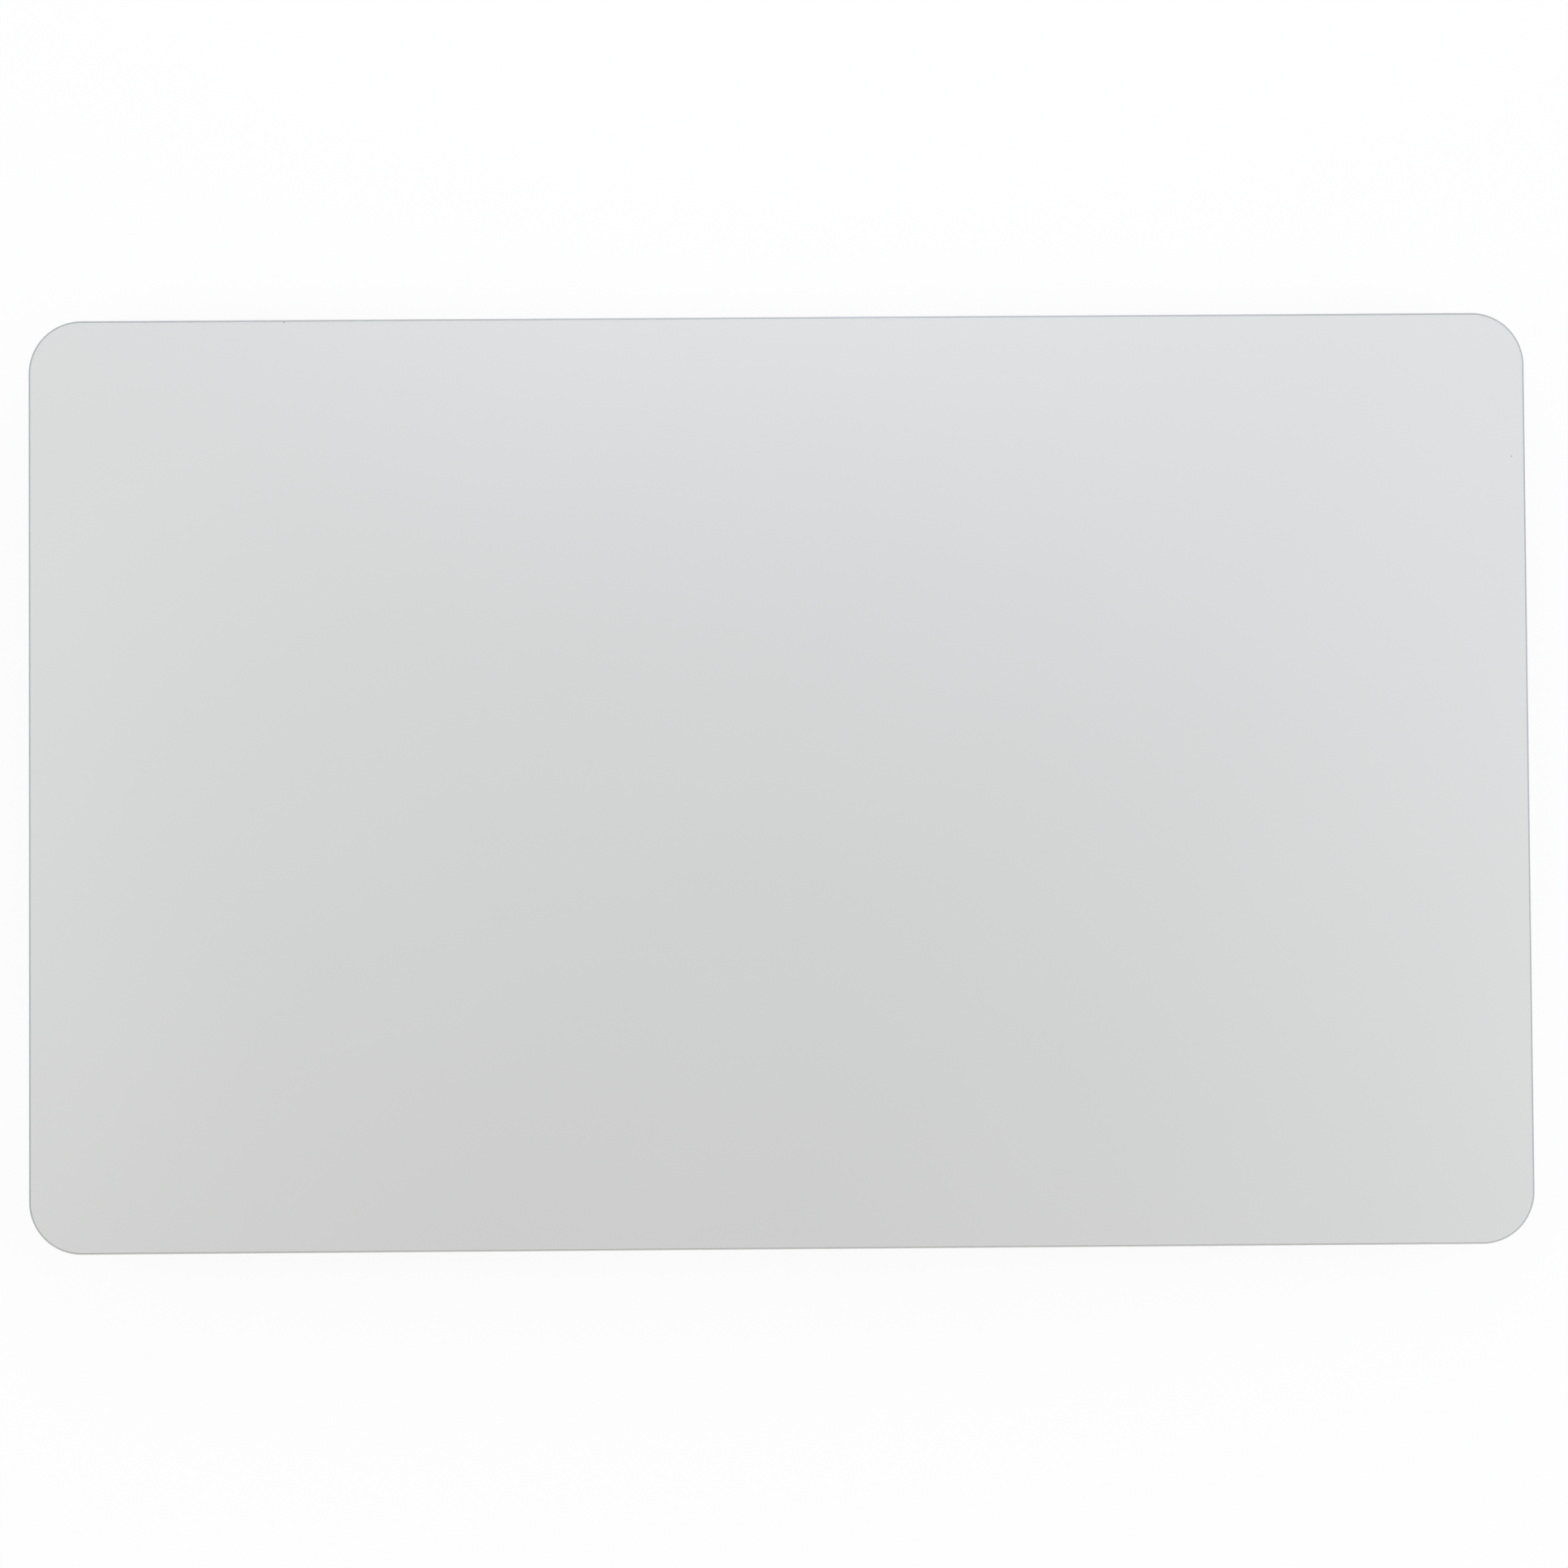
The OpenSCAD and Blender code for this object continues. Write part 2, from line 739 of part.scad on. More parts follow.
module core_pad() {
  color([0.75, 0.5, 0.2])
    difference() {
      translate([0, core_screw_y, core_z1])
        block(core_l, yoke_d, core_pad_t);
      at_core_screws()
        translate([0, 0, core_z1 - cut])
          cylinder(h = core_pad_t + 2 * cut, d = screw_d + 2 * fit);
    }
}

module core_screws() {
  color([0.7, 0.7, 0.7])
    at_core_screws() {
      translate([0, 0, core_z0 - head_h])
        cylinder(h = head_h, d = head_d);
      translate([0, 0, core_z0])
        cylinder(h = core_h + core_pad_t + board_t - board_skin, d = screw_d);
    }
}

// Turns a shape drawn across the teeth to run along each tooth from the yoke
module along_teeth(y) {
  for (x = spread(tooth_count, tooth_pitch))
    translate([x, y, core_mid_z])
      rotate([90, 0, 180])
        children();
}

module coil_bobbins() {
  color([0.14, 0.14, 0.15])
    along_teeth(tooth_y0)
      difference() {
        union() {
          linear_extrude(sleeve_l)
            rounded_rect(sleeve_w, sleeve_h, bobbin_wall);
          for (z = [0, sleeve_l - bobbin_flange])
            translate([0, 0, z])
              linear_extrude(bobbin_flange)
                rounded_rect(sleeve_w + 2 * coil_wall, sleeve_h + 2 * coil_wall, coil_r);
        }
        translate([0, 0, -cut])
          linear_extrude(sleeve_l + 2 * cut)
            square([tooth_w + 2 * fit, tooth_h + 2 * fit], center = true);
      }
}

module drive_coils() {
  color([0.72, 0.38, 0.18])
    along_teeth(tooth_y0 + bobbin_flange)
      linear_extrude(sleeve_l - 2 * bobbin_flange)
        difference() {
          rounded_rect(sleeve_w + 2 * coil_wall, sleeve_h + 2 * coil_wall, coil_r);
          rounded_rect(sleeve_w, sleeve_h, bobbin_wall);
        }
}

module armature_bar() {
  color([0.5, 0.5, 0.52])
    difference() {
      translate([0, armature_y0 + armature_d / 2, rail_z0])
        block(yoke_l, armature_d, armature_h);
      at_armature_screws()
        translate([0, 0, rail_z0 - cut])
          cylinder(h = armature_thread + cut, d = screw_d);
    }
}

module armature_screws() {
  color([0.7, 0.7, 0.7])
    at_armature_screws()
      translate([0, 0, bridge_z0])
        sunk_screw(bridge_t + armature_thread);
}

// Force suspension

module gel_pads() {
  color([0.8, 0.82, 0.8])
    in_corners()
      translate([foot_x, beam_y, foot_z1])
        cylinder(h = gel_t, d = gel_d);
}

module foot_plates() {
  color([0.68, 0.68, 0.68])
    in_corners()
      difference() {
        translate([foot_x, beam_y, beam_z1])
          plate(foot_l, beam_w, beam_r, foot_t);
        translate([foot_x, beam_y, beam_z1 - cut])
          cylinder(h = foot_t + 2 * cut, d = rivet_d);
      }
}

module foot_rivets() {
  color([0.75, 0.75, 0.75])
    in_corners()
      translate([foot_x, beam_y, 0]) {
        translate([0, 0, rail_z1 - rivet_head_h])
          cylinder(h = rivet_head_h, d = rivet_head_d);
        translate([0, 0, rail_z1])
          cylinder(h = beam_t + foot_t, d = rivet_d);
      }
}

module leaf_beam() {
  translate([0, 0, rail_z1])
    difference() {
      translate([tip_x - beam_l / 2, beam_y, 0])
        plate(beam_l, beam_w, beam_r, beam_t);
      for (y = [-1, 1])
        translate([waist_x, beam_y + y * beam_w / 2, -cut])
          plate(beam_free - 2 * fit, 2 * waist_cut, beam_r, beam_t + 2 * cut);
      at_clamp_screws()
        translate([0, 0, -cut])
          cylinder(h = beam_t + 2 * cut, d = screw_d + 2 * fit);
      translate([foot_x, beam_y, -cut])
        cylinder(h = beam_t + 2 * cut, d = rivet_d + 2 * fit);
    }
}

module beam_front_left() {
  color([0.74, 0.75, 0.76])
    in_corner(-1, -1)
      leaf_beam();
}

module beam_front_right() {
  color([0.74, 0.75, 0.76])
    in_corner(1, -1)
      leaf_beam();
}

module beam_back_left() {
  color([0.74, 0.75, 0.76])
    in_corner(-1, 1)
      leaf_beam();
}

module beam_back_right() {
  color([0.74, 0.75, 0.76])
    in_corner(1, 1)
      leaf_beam();
}

module strain_gauges() {
  color([0.8, 0.5, 0.15])
    in_corners()
      translate([waist_x, beam_y, rail_z1 - gauge_t])
        block(gauge_l, gauge_w, gauge_t);
}

// A ribbon from each gauge towards the middle of the pad, up to the board
module gauge_tails() {
  gauge_z = rail_z1 - gauge_t / 2;
  land_z = board_z0 - gauge_t / 2;
  climb_y = beam_y - beam_w / 2;
  path = [
    [beam_y - gauge_w / 2, gauge_z],
    [climb_y, gauge_z],
    [climb_y - tail_run, land_z],
    [climb_y - tail_run - tail_land, land_z]
  ];
  color([0.72, 0.42, 0.12])
    in_corners()
      translate([waist_x - tail_w / 2, 0, 0])
        rotate([90, 0, 90])
          linear_extrude(tail_w)
            polygon(ribbon(path, gauge_t));
}

module clamp_plates() {
  color([0.62, 0.62, 0.64])
    in_corners()
      difference() {
        translate([clamp_x, beam_y, beam_z1])
          plate(clamp_l, beam_w, beam_r, clamp_t);
        at_clamp_screws()
          translate([0, 0, beam_z1 - cut])
            cylinder(h = clamp_t + 2 * cut, d = screw_d);
      }
}

module clamp_screws() {
  color([0.7, 0.7, 0.7])
    in_corners()
      at_clamp_screws()
        translate([0, 0, rail_z0])
          sunk_screw(rail_t + beam_t + clamp_t);
}

// Mounting frame

module rail(sx) {
  difference() {
    union() {
      translate([sx * rail_x, 0, rail_z0])
        plate(rail_w, rail_l, rail_r, rail_t);
      translate([sx * (rail_in + lip_t / 2), 0, rail_z0])
        block(lip_t, rail_lip_l, rail_t + rail_lip_h);
    }
    in_corners()
      at_clamp_screws()
        translate([0, 0, rail_z0])
          sunk_hole(rail_t + cut);
    at_posts()
      translate([0, 0, rail_z0 - cut])
        cylinder(h = rail_t + 2 * cut, d = shank_d);
    at_bridge_screws()
      translate([0, 0, rail_z0 - cut])
        cylinder(h = bridge_thread + cut, d = screw_d);
  }
}

module left_rail() {
  color([0.72, 0.72, 0.73])
    rail(-1);
}

module right_rail() {
  color([0.72, 0.72, 0.73])
    rail(1);
}

module bridge() {
  lip_l = 2 * (rail_in - lip_t);
  color([0.7, 0.7, 0.71])
    difference() {
      union() {
        translate([0, bridge_y, bridge_z0])
          plate(2 * rail_out, bridge_d, rail_r, bridge_t);
        translate([0, armature_y0 + bridge_d - lip_t / 2, bridge_z0])
          block(lip_l, lip_t, bridge_t + bridge_lip_h);
      }
      for (x = spread(bridge_slots, bridge_slot_pitch))
        translate([x, bridge_slot_y, bridge_z0 - cut])
          linear_extrude(bridge_t + 2 * cut)
            slot_shape(bridge_slot_l, bridge_slot_w);
      at_bridge_screws()
        translate([0, 0, bridge_z0])
          sunk_hole(bridge_t + cut);
      at_armature_screws()
        translate([0, 0, bridge_z0])
          sunk_hole(bridge_t + cut);
    }
}

module bridge_screws() {
  color([0.7, 0.7, 0.7])
    at_bridge_screws()
      translate([0, 0, bridge_z0])
        sunk_screw(bridge_t + bridge_thread);
}

module mount_posts() {
  color([0.76, 0.74, 0.68])
    at_posts()
      difference() {
        union() {
          cylinder(h = rail_z0, d = nose_d);
          translate([0, 0, shim_t])
            cylinder(h = rail_z0 - shim_t, d = post_d);
          translate([0, 0, rail_z0])
            cylinder(h = rail_t, d = shank_d);
        }
        translate([0, 0, -cut])
          cylinder(h = rail_z1 + 2 * cut, d = thread_d);
      }
}

module shim_washers() {
  color([0.8, 0.8, 0.8])
    at_posts()
      difference() {
        cylinder(h = shim_t, d = shim_d);
        translate([0, 0, -cut])
          cylinder(h = shim_t + 2 * cut, d = nose_d + 2 * fit);
      }
}

module bump_stops() {
  color([0.1, 0.1, 0.1])
    for (x = [-rail_x, rail_x], y = [-bump_y, bump_y])
      translate([x, y, rail_z1])
        cylinder(h = bump_h, d = bump_d);
}

cover_glass();
bond_sheet();
touch_board();
insulator_film();
shield_can();
force_amplifier();
touch_controller();
microcontroller();
haptic_driver();
boost_inductor();
chip_capacitors();
chip_resistors();
bulk_capacitors();
cable_socket();
cable_contacts();
cable_latch();
coil_socket();
coil_contacts();
coil_latch();
coil_flex();
magnet_core();
core_pad();
core_screws();
coil_bobbins();
drive_coils();
gel_pads();
foot_plates();
foot_rivets();
beam_front_left();
beam_front_right();
beam_back_left();
beam_back_right();
strain_gauges();
gauge_tails();
clamp_plates();
clamp_screws();
left_rail();
right_rail();
bridge();
bridge_screws();
armature_bar();
armature_screws();
mount_posts();
shim_washers();
bump_stops();
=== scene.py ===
"""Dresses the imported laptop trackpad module.

A satin glass plate on its touch board rides on four leaf beams, over a mounting frame, with an
electromagnet between them. Sizes of pieces are in metres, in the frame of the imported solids, and
those of finishes in millimetres.
"""

import logging
import math
from dataclasses import dataclass, replace
from enum import Enum
from typing import Any, Iterable, Mapping, Sequence

import bmesh
import bpy
from mathutils import Matrix, Vector


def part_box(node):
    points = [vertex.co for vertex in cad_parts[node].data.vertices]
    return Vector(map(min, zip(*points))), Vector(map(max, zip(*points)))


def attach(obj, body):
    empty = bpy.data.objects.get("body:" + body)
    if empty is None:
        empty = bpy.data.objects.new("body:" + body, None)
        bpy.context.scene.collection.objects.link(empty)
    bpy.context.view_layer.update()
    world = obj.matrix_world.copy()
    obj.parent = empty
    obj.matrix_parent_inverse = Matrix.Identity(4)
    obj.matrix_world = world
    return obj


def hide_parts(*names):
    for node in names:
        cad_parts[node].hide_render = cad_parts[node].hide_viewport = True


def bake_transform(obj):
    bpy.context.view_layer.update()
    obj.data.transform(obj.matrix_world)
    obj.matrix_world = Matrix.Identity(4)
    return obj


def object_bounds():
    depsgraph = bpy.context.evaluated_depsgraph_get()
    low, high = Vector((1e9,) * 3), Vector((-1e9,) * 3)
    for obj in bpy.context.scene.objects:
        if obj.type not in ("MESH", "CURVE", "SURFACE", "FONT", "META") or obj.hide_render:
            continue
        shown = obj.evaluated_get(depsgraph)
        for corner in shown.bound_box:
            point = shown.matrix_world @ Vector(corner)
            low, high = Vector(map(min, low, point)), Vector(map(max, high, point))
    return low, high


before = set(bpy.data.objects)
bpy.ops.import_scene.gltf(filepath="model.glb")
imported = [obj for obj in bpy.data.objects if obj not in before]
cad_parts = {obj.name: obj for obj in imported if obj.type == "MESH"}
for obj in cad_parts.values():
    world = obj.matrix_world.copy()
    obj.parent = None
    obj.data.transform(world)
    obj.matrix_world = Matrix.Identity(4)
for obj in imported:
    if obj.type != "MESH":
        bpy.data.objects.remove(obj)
CAD_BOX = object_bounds()

LOG = logging.getLogger("trackpad_module")
MM = 0.001
PHOTO_SIDE = 1932
WELD = 0.0001 * MM
COPY_WELD = 0.001 * MM
SORT_DIGITS = 5
SHEET_EDGE_SHARE = 0.25
SMOOTH_BELOW = 40.0
RIBBON_SMOOTH = 25.0
FLAT_BELOW = 1.0
SHARP_FROM = 35.0

Piece = bpy.types.Object
Shape = bmesh.types.BMesh
Socket = bpy.types.NodeSocket
Triple = tuple[float, float, float]
Colour = Triple
Pair = tuple[float, float]
Point = Pair


class Body(Enum):
    """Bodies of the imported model."""

    FRAME = "mount_frame"
    FEET = "beam_feet"
    PLATE = "touch_plate"
    CABLE_FLAP = "cable_flap"
    COIL_FLAP = "coil_flap"


class Slot(Enum):
    """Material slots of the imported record."""

    GLASS = "glass_face"
    BOND = "bond_clear"
    BOARD = "board_black"
    FILM = "film_black"
    CAN = "can_tin"
    CHIP = "chip_black"
    FERRITE = "ferrite_grey"
    CERAMIC = "ceramic_tan"
    RESISTOR = "resistor_black"
    SOCKET = "socket_ivory"
    CONTACT = "contact_gold"
    LATCH = "latch_black"
    FLEX = "flex_amber"
    CORE = "core_steel"
    PAD = "pad_amber"
    SCREW = "screw_steel"
    BOBBIN = "bobbin_black"
    WIRE = "wire_copper"
    GEL = "gel_clear"
    FOOT = "foot_steel"
    SPRING = "spring_steel"
    GAUGE = "gauge_amber"
    CLAMP = "clamp_steel"
    FRAME = "frame_steel"
    ARMATURE = "armature_steel"
    POST = "post_steel"
    SHIM = "shim_steel"
    STOP = "stop_rubber"


class Side(Enum):
    """Left and right halves of the pad."""

    LEFT = -1
    RIGHT = 1


class Graph:
    """Adds nodes to one node tree, and sets or links their inputs."""

    def __init__(self, tree: bpy.types.NodeTree) -> None:
        """Keeps the tree that the nodes go to."""
        self.tree = tree

    def node(
        self, kind: str, inputs: Mapping[Any, Any] | None = None, **settings: Any
    ) -> bpy.types.Node:
        """Adds a node.

        Args:
            kind: Blender's name for the type of node.
            inputs: Values or output sockets, by the name or number of the input.
            settings: The node's own properties.

        Returns:
            The new node.
        """
        made = self.tree.nodes.new(kind)
        for name, value in settings.items():
            setattr(made, name, value)
        for key, value in (inputs or {}).items():
            if isinstance(value, Socket):
                self.tree.links.new(value, made.inputs[key])
            else:
                made.inputs[key].default_value = value
        return made

    def out(self, kind: str, inputs: Mapping[Any, Any] | None = None, **settings: Any) -> Any:
        """First output of a new node, which is added as in node."""
        return self.node(kind, inputs, **settings).outputs[0]

    def math(self, operation: str, a: Any, b: Any = 0.0, c: Any = 0.0) -> Socket:
        """Result of one Math node."""
        return self.out("ShaderNodeMath", {0: a, 1: b, 2: c}, operation=operation)

    def scaled(
        self, value: Any, low: float, high: float, to_low: float = 0.0, to_high: float = 1.0
    ) -> Socket:
        """Value between low and high, mapped to another range and clamped."""
        ends = {"Value": value, 1: low, 2: high, 3: to_low, 4: to_high}
        return self.out("ShaderNodeMapRange", ends, clamp=True)

    def mix(self, share: Any, a: Any, b: Any) -> Socket:
        """Colour between a and b."""
        ends = {0: share, 6: four(a), 7: four(b)}
        return self.node("ShaderNodeMix", ends, data_type="RGBA").outputs[2]

    def vector(self, operation: str, a: Any, b: Any = (0.0, 0.0, 0.0)) -> Any:
        """Outputs of one Vector Math node."""
        return self.node("ShaderNodeVectorMath", {0: a, 1: b}, operation=operation).outputs

    def stripes(self, across: Any, pitch: float, none: float, full: float) -> Socket:
        """Even stripes across an axis.

        Args:
            across: Place along the axis.
            pitch: Step of the stripes in millimetres.
            none: Share of the step, from its middle, at which a stripe is gone.
            full: Share at which it is whole.

        Returns:
            How much of a stripe there is at each place.
        """
        step = self.math("FRACT", self.math("DIVIDE", across, pitch * MM))
        return self.scaled(self.math("ABSOLUTE", self.math("SUBTRACT", step, 0.5)), none, full)


def emptied(owner: Any) -> Graph:
    """Clears the nodes of a new material or world.

    Args:
        owner: The material or world.

    Returns:
        Its graph, to fill.
    """
    owner.use_nodes = True
    owner.node_tree.nodes.clear()
    return Graph(owner.node_tree)


def four(colour: Any) -> Any:
    """A colour with its alpha, or the socket that it already is."""
    return colour if isinstance(colour, Socket) else (*colour, 1.0)


@dataclass(frozen=True)
class Skin:
    """What a finish paints with, as sockets: colour, share of gloss lost, and height."""

    colour: Any
    dull: Any
    height: Any


GRAIN_SPAN = (0.3, 0.7)
EDGE_TURN = (0.99, 0.86)
EDGE_SAMPLES = 6
WEAR_GRAINS = 6.0
WEAR_BREAKS = (0.35, 0.6, 0.25, 1.0)
LEAST_ROUGH = 0.02
MARK_FADE = (1.0, 0.55)


@dataclass(frozen=True)
class Finish:
    """A finish whose colour and gloss wander along a fine grain. Lengths are in millimetres."""

    name: str
    tone: Colour
    shade: Colour
    rough: float
    grain: float
    stretch: Triple = (1.0, 1.0, 1.0)
    relief: float = 0.002
    swing: float = 0.12
    metal: float = 0.0
    worn: Colour | None = None
    worn_width: float = 0.06
    coat: float = 0.0
    clear: float = 0.0

    def noise(self, graph: Graph, place: Any, grain: float, detail: float = 4.0) -> Any:
        """Noise drawn out along the finish's own direction.

        Args:
            graph: The material's nodes.
            place: Object coordinates.
            grain: Size of its grain in millimetres.
            detail: How many finer steps it has.

        Returns:
            The socket of the noise.
        """
        drawn = graph.out("ShaderNodeMapping", {"Vector": place, "Scale": self.stretch})
        ends = {"Vector": drawn, "Scale": 1.0 / (grain * MM), "Detail": detail}
        return graph.out("ShaderNodeTexNoise", ends)

    def skin(self, graph: Graph, place: Any) -> Skin:
        """Paints the plain grain.

        Args:
            graph: The material's nodes.
            place: Object coordinates.

        Returns:
            The sockets to paint with.
        """
        fine = self.noise(graph, place, self.grain)
        share = graph.scaled(fine, *GRAIN_SPAN)
        return Skin(graph.mix(share, self.tone, self.shade), share, fine)

    def worn_share(self, graph: Graph, place: Any) -> Any:
        """Finds the edges that are worn bare, broken up by a coarser noise.

        Args:
            graph: The material's nodes.
            place: Object coordinates.

        Returns:
            The share of bare material at each point.
        """
        bent = graph.out("ShaderNodeBevel", {"Radius": self.worn_width * MM}, samples=EDGE_SAMPLES)
        facing = graph.node("ShaderNodeNewGeometry").outputs["Normal"]
        alike = graph.vector("DOT_PRODUCT", bent, facing)["Value"]
        edge = graph.scaled(alike, *EDGE_TURN)
        patches = self.noise(graph, place, WEAR_GRAINS * self.grain)
        return graph.math("MULTIPLY", edge, graph.scaled(patches, *WEAR_BREAKS))

    def material(self) -> bpy.types.Material:
        """Builds the node material of this finish.

        Returns:
            The material.
        """
        made = bpy.data.materials.new(self.name)
        graph = emptied(made)
        place = graph.node("ShaderNodeTexCoord").outputs["Object"]
        skin = self.skin(graph, place)
        colour = skin.colour
        if self.worn is not None:
            colour = graph.mix(self.worn_share(graph, place), colour, self.worn)
        low = max(LEAST_ROUGH, self.rough - self.swing / 2.0)
        rough = graph.scaled(skin.dull, 0.0, 1.0, low, self.rough + self.swing / 2.0)
        bump = graph.out(
            "ShaderNodeBump", {"Strength": 1.0, "Distance": self.relief * MM, "Height": skin.height}
        )
        surface = graph.out(
            "ShaderNodeBsdfPrincipled",
            {
                "Base Color": colour,
                "Metallic": self.metal,
                "Roughness": rough,
                "Coat Weight": self.coat,
                "Transmission Weight": self.clear,
                "Normal": bump,
            },
        )
        graph.node("ShaderNodeOutputMaterial", {"Surface": surface})
        return made


@dataclass(frozen=True)
class Mark:
    """A small mark left by use on the glass: place, size and turn, in millimetres and degrees."""

    x: float
    y: float
    length: float
    width: float
    turn: float
    depth: float

    def share(self, graph: Graph, place: Any) -> Any:
        """Finds where the mark is.

        Args:
            graph: The material's nodes.
            place: Object coordinates.

        Returns:
            How strongly it shows at each point.
        """
        ends = {
            "Vector": place,
            "Location": (self.x * MM, self.y * MM, 0.0),
            "Rotation": (0.0, 0.0, math.radians(self.turn)),
            "Scale": (self.length / 2.0 * MM, self.width / 2.0 * MM, 1.0),
        }
        own = graph.out("ShaderNodeMapping", ends, vector_type="TEXTURE")
        away = graph.vector("LENGTH", own)["Value"]
        return graph.scaled(away, *MARK_FADE, 0.0, self.depth)


@dataclass(frozen=True)
class SatinGlass(Finish):
    """Etched glass over silver paint, with faint handling haze and a few small marks."""

    marks: tuple[Mark, ...] = ()
    haze: float = 22.0
    haze_span: Pair = (0.35, 0.65)
    haze_share: float = 0.5
    detail: float = 2.0
    scar: Colour = (0.03, 0.03, 0.035)
    scar_depth: float = 4.0

    def skin(self, graph: Graph, place: Any) -> Skin:
        """Paints the etched grain, the haze and the marks.

        Args:
            graph: The material's nodes.
            place: Object coordinates.

        Returns:
            The sockets to paint with.
        """
        fine = self.noise(graph, place, self.grain, self.detail)
        haze = graph.scaled(self.noise(graph, place, self.haze, self.detail), *self.haze_span)
        hazy = graph.math("MULTIPLY", haze, self.haze_share)
        share = graph.math("MULTIPLY_ADD", fine, 1.0 - self.haze_share, hazy)
        colour = graph.mix(share, self.tone, self.shade)
        scar = 0.0
        for mark in self.marks:
            scar = graph.math("MAXIMUM", scar, mark.share(graph, place))
        height = graph.math("SUBTRACT", fine, graph.math("MULTIPLY", scar, self.scar_depth))
        return Skin(graph.mix(scar, colour, self.scar), haze, height)


@dataclass(frozen=True)
class Layered(Finish):
    """Thin layers stacked along Z, such as core plates or board laminate."""

    layer: float = 0.2
    seam_span: Pair = (0.36, 0.48)
    seam_share: float = 0.7
    grain_share: float = 0.3

    def skin(self, graph: Graph, place: Any) -> Skin:
        """Paints the layers over the grain.

        Args:
            graph: The material's nodes.
            place: Object coordinates.

        Returns:
            The sockets to paint with.
        """
        fine = self.noise(graph, place, self.grain)
        high = graph.node("ShaderNodeSeparateXYZ", {0: place}).outputs["Z"]
        seam = graph.stripes(high, self.layer, *self.seam_span)
        grain = graph.math("MULTIPLY", fine, self.grain_share)
        share = graph.math("MULTIPLY_ADD", seam, self.seam_share, grain)
        height = graph.math("SUBTRACT", grain, seam)
        return Skin(graph.mix(share, self.tone, self.shade), share, height)


@dataclass(frozen=True)
class Traced(Finish):
    """Film with copper tracks under it, side by side across one axis."""

    axis: str = "X"
    pitch: float = 0.5
    track: Colour = (0.5, 0.19, 0.05)
    track_span: Pair = (0.3, 0.24)
    grain_share: float = 0.2

    def skin(self, graph: Graph, place: Any) -> Skin:
        """Paints the tracks under the film.

        Args:
            graph: The material's nodes.
            place: Object coordinates.

        Returns:
            The sockets to paint with.
        """
        fine = self.noise(graph, place, self.grain)
        across = graph.node("ShaderNodeSeparateXYZ", {0: place}).outputs[self.axis]
        track = graph.stripes(across, self.pitch, *self.track_span)
        film = graph.mix(graph.scaled(fine, *GRAIN_SPAN), self.tone, self.shade)
        height = graph.math("MULTIPLY_ADD", fine, self.grain_share, track)
        return Skin(graph.mix(track, film, self.track), fine, height)


@dataclass(frozen=True)
class Routed(Finish):
    """Solder mask over oblong patches of parallel copper tracks, with small covered vias."""

    pitch: float = 0.6
    patch: Pair = (13.0, 7.5)
    seam: float = 0.25
    via: float = 0.2
    via_pitch: float = 2.6
    via_flat: float = 0.7
    track_span: Pair = (0.3, 0.22)
    along_y: float = 0.84
    along_x: float = 0.52
    spread: float = 0.16
    grain_share: float = 0.15

    def patches(self, graph: Graph, place: Any) -> Any:
        """Lays out the oblong patches.

        Args:
            graph: The material's nodes.
            place: Object coordinates.

        Returns:
            A random share for each patch, and none in the seams between them.
        """
        none, full = four((0.0, 0.0, 0.0)), four((1.0, 1.0, 1.0))
        ends = {
            "Vector": place, "Color1": none, "Color2": full, "Mortar": none, "Scale": 1.0 / MM,
            "Mortar Size": self.seam, "Brick Width": self.patch[0], "Row Height": self.patch[1],
        }
        return graph.node("ShaderNodeTexBrick", ends).outputs["Color"]

    def skin(self, graph: Graph, place: Any) -> Skin:
        """Paints the tracks and vias through the mask.

        Args:
            graph: The material's nodes.
            place: Object coordinates.

        Returns:
            The sockets to paint with.
        """
        fine = self.noise(graph, place, self.grain)
        split = graph.node("ShaderNodeSeparateXYZ", {0: place})
        ends = {"Vector": place, "Scale": 1.0 / (self.via_pitch * MM)}
        dots = graph.node("ShaderNodeTexVoronoi", ends, voronoi_dimensions="2D")
        rim = self.via / self.via_pitch
        track = graph.scaled(dots.outputs["Distance"], rim, self.via_flat * rim)
        chance = self.patches(graph, place)
        for axis, share in (("X", self.along_y), ("Y", self.along_x)):
            chosen = graph.math("COMPARE", chance, share, self.spread)
            lines = graph.stripes(split.outputs[axis], self.pitch, *self.track_span)
            track = graph.math("MAXIMUM", track, graph.math("MULTIPLY", lines, chosen))
        height = graph.math("MULTIPLY_ADD", fine, self.grain_share, track)
        return Skin(graph.mix(track, self.tone, self.shade), fine, height)


BLACK_WEAR = (0.09, 0.09, 0.095)
STEEL_WEAR = (0.78, 0.78, 0.77)


@dataclass(frozen=True)
class Steel(Finish):
    """Bare or plated steel that shines along its worn edges."""

    metal: float = 1.0
    worn: Colour | None = STEEL_WEAR


GLASS_MARKS = (
    Mark(-44.1, 41.45, 0.3, 0.14, 60.0, 0.75),
    Mark(8.6, 41.2, 0.9, 0.05, 62.0, 0.1),
    Mark(65.75, 28.7, 0.13, 0.13, 0.0, 0.7),
)

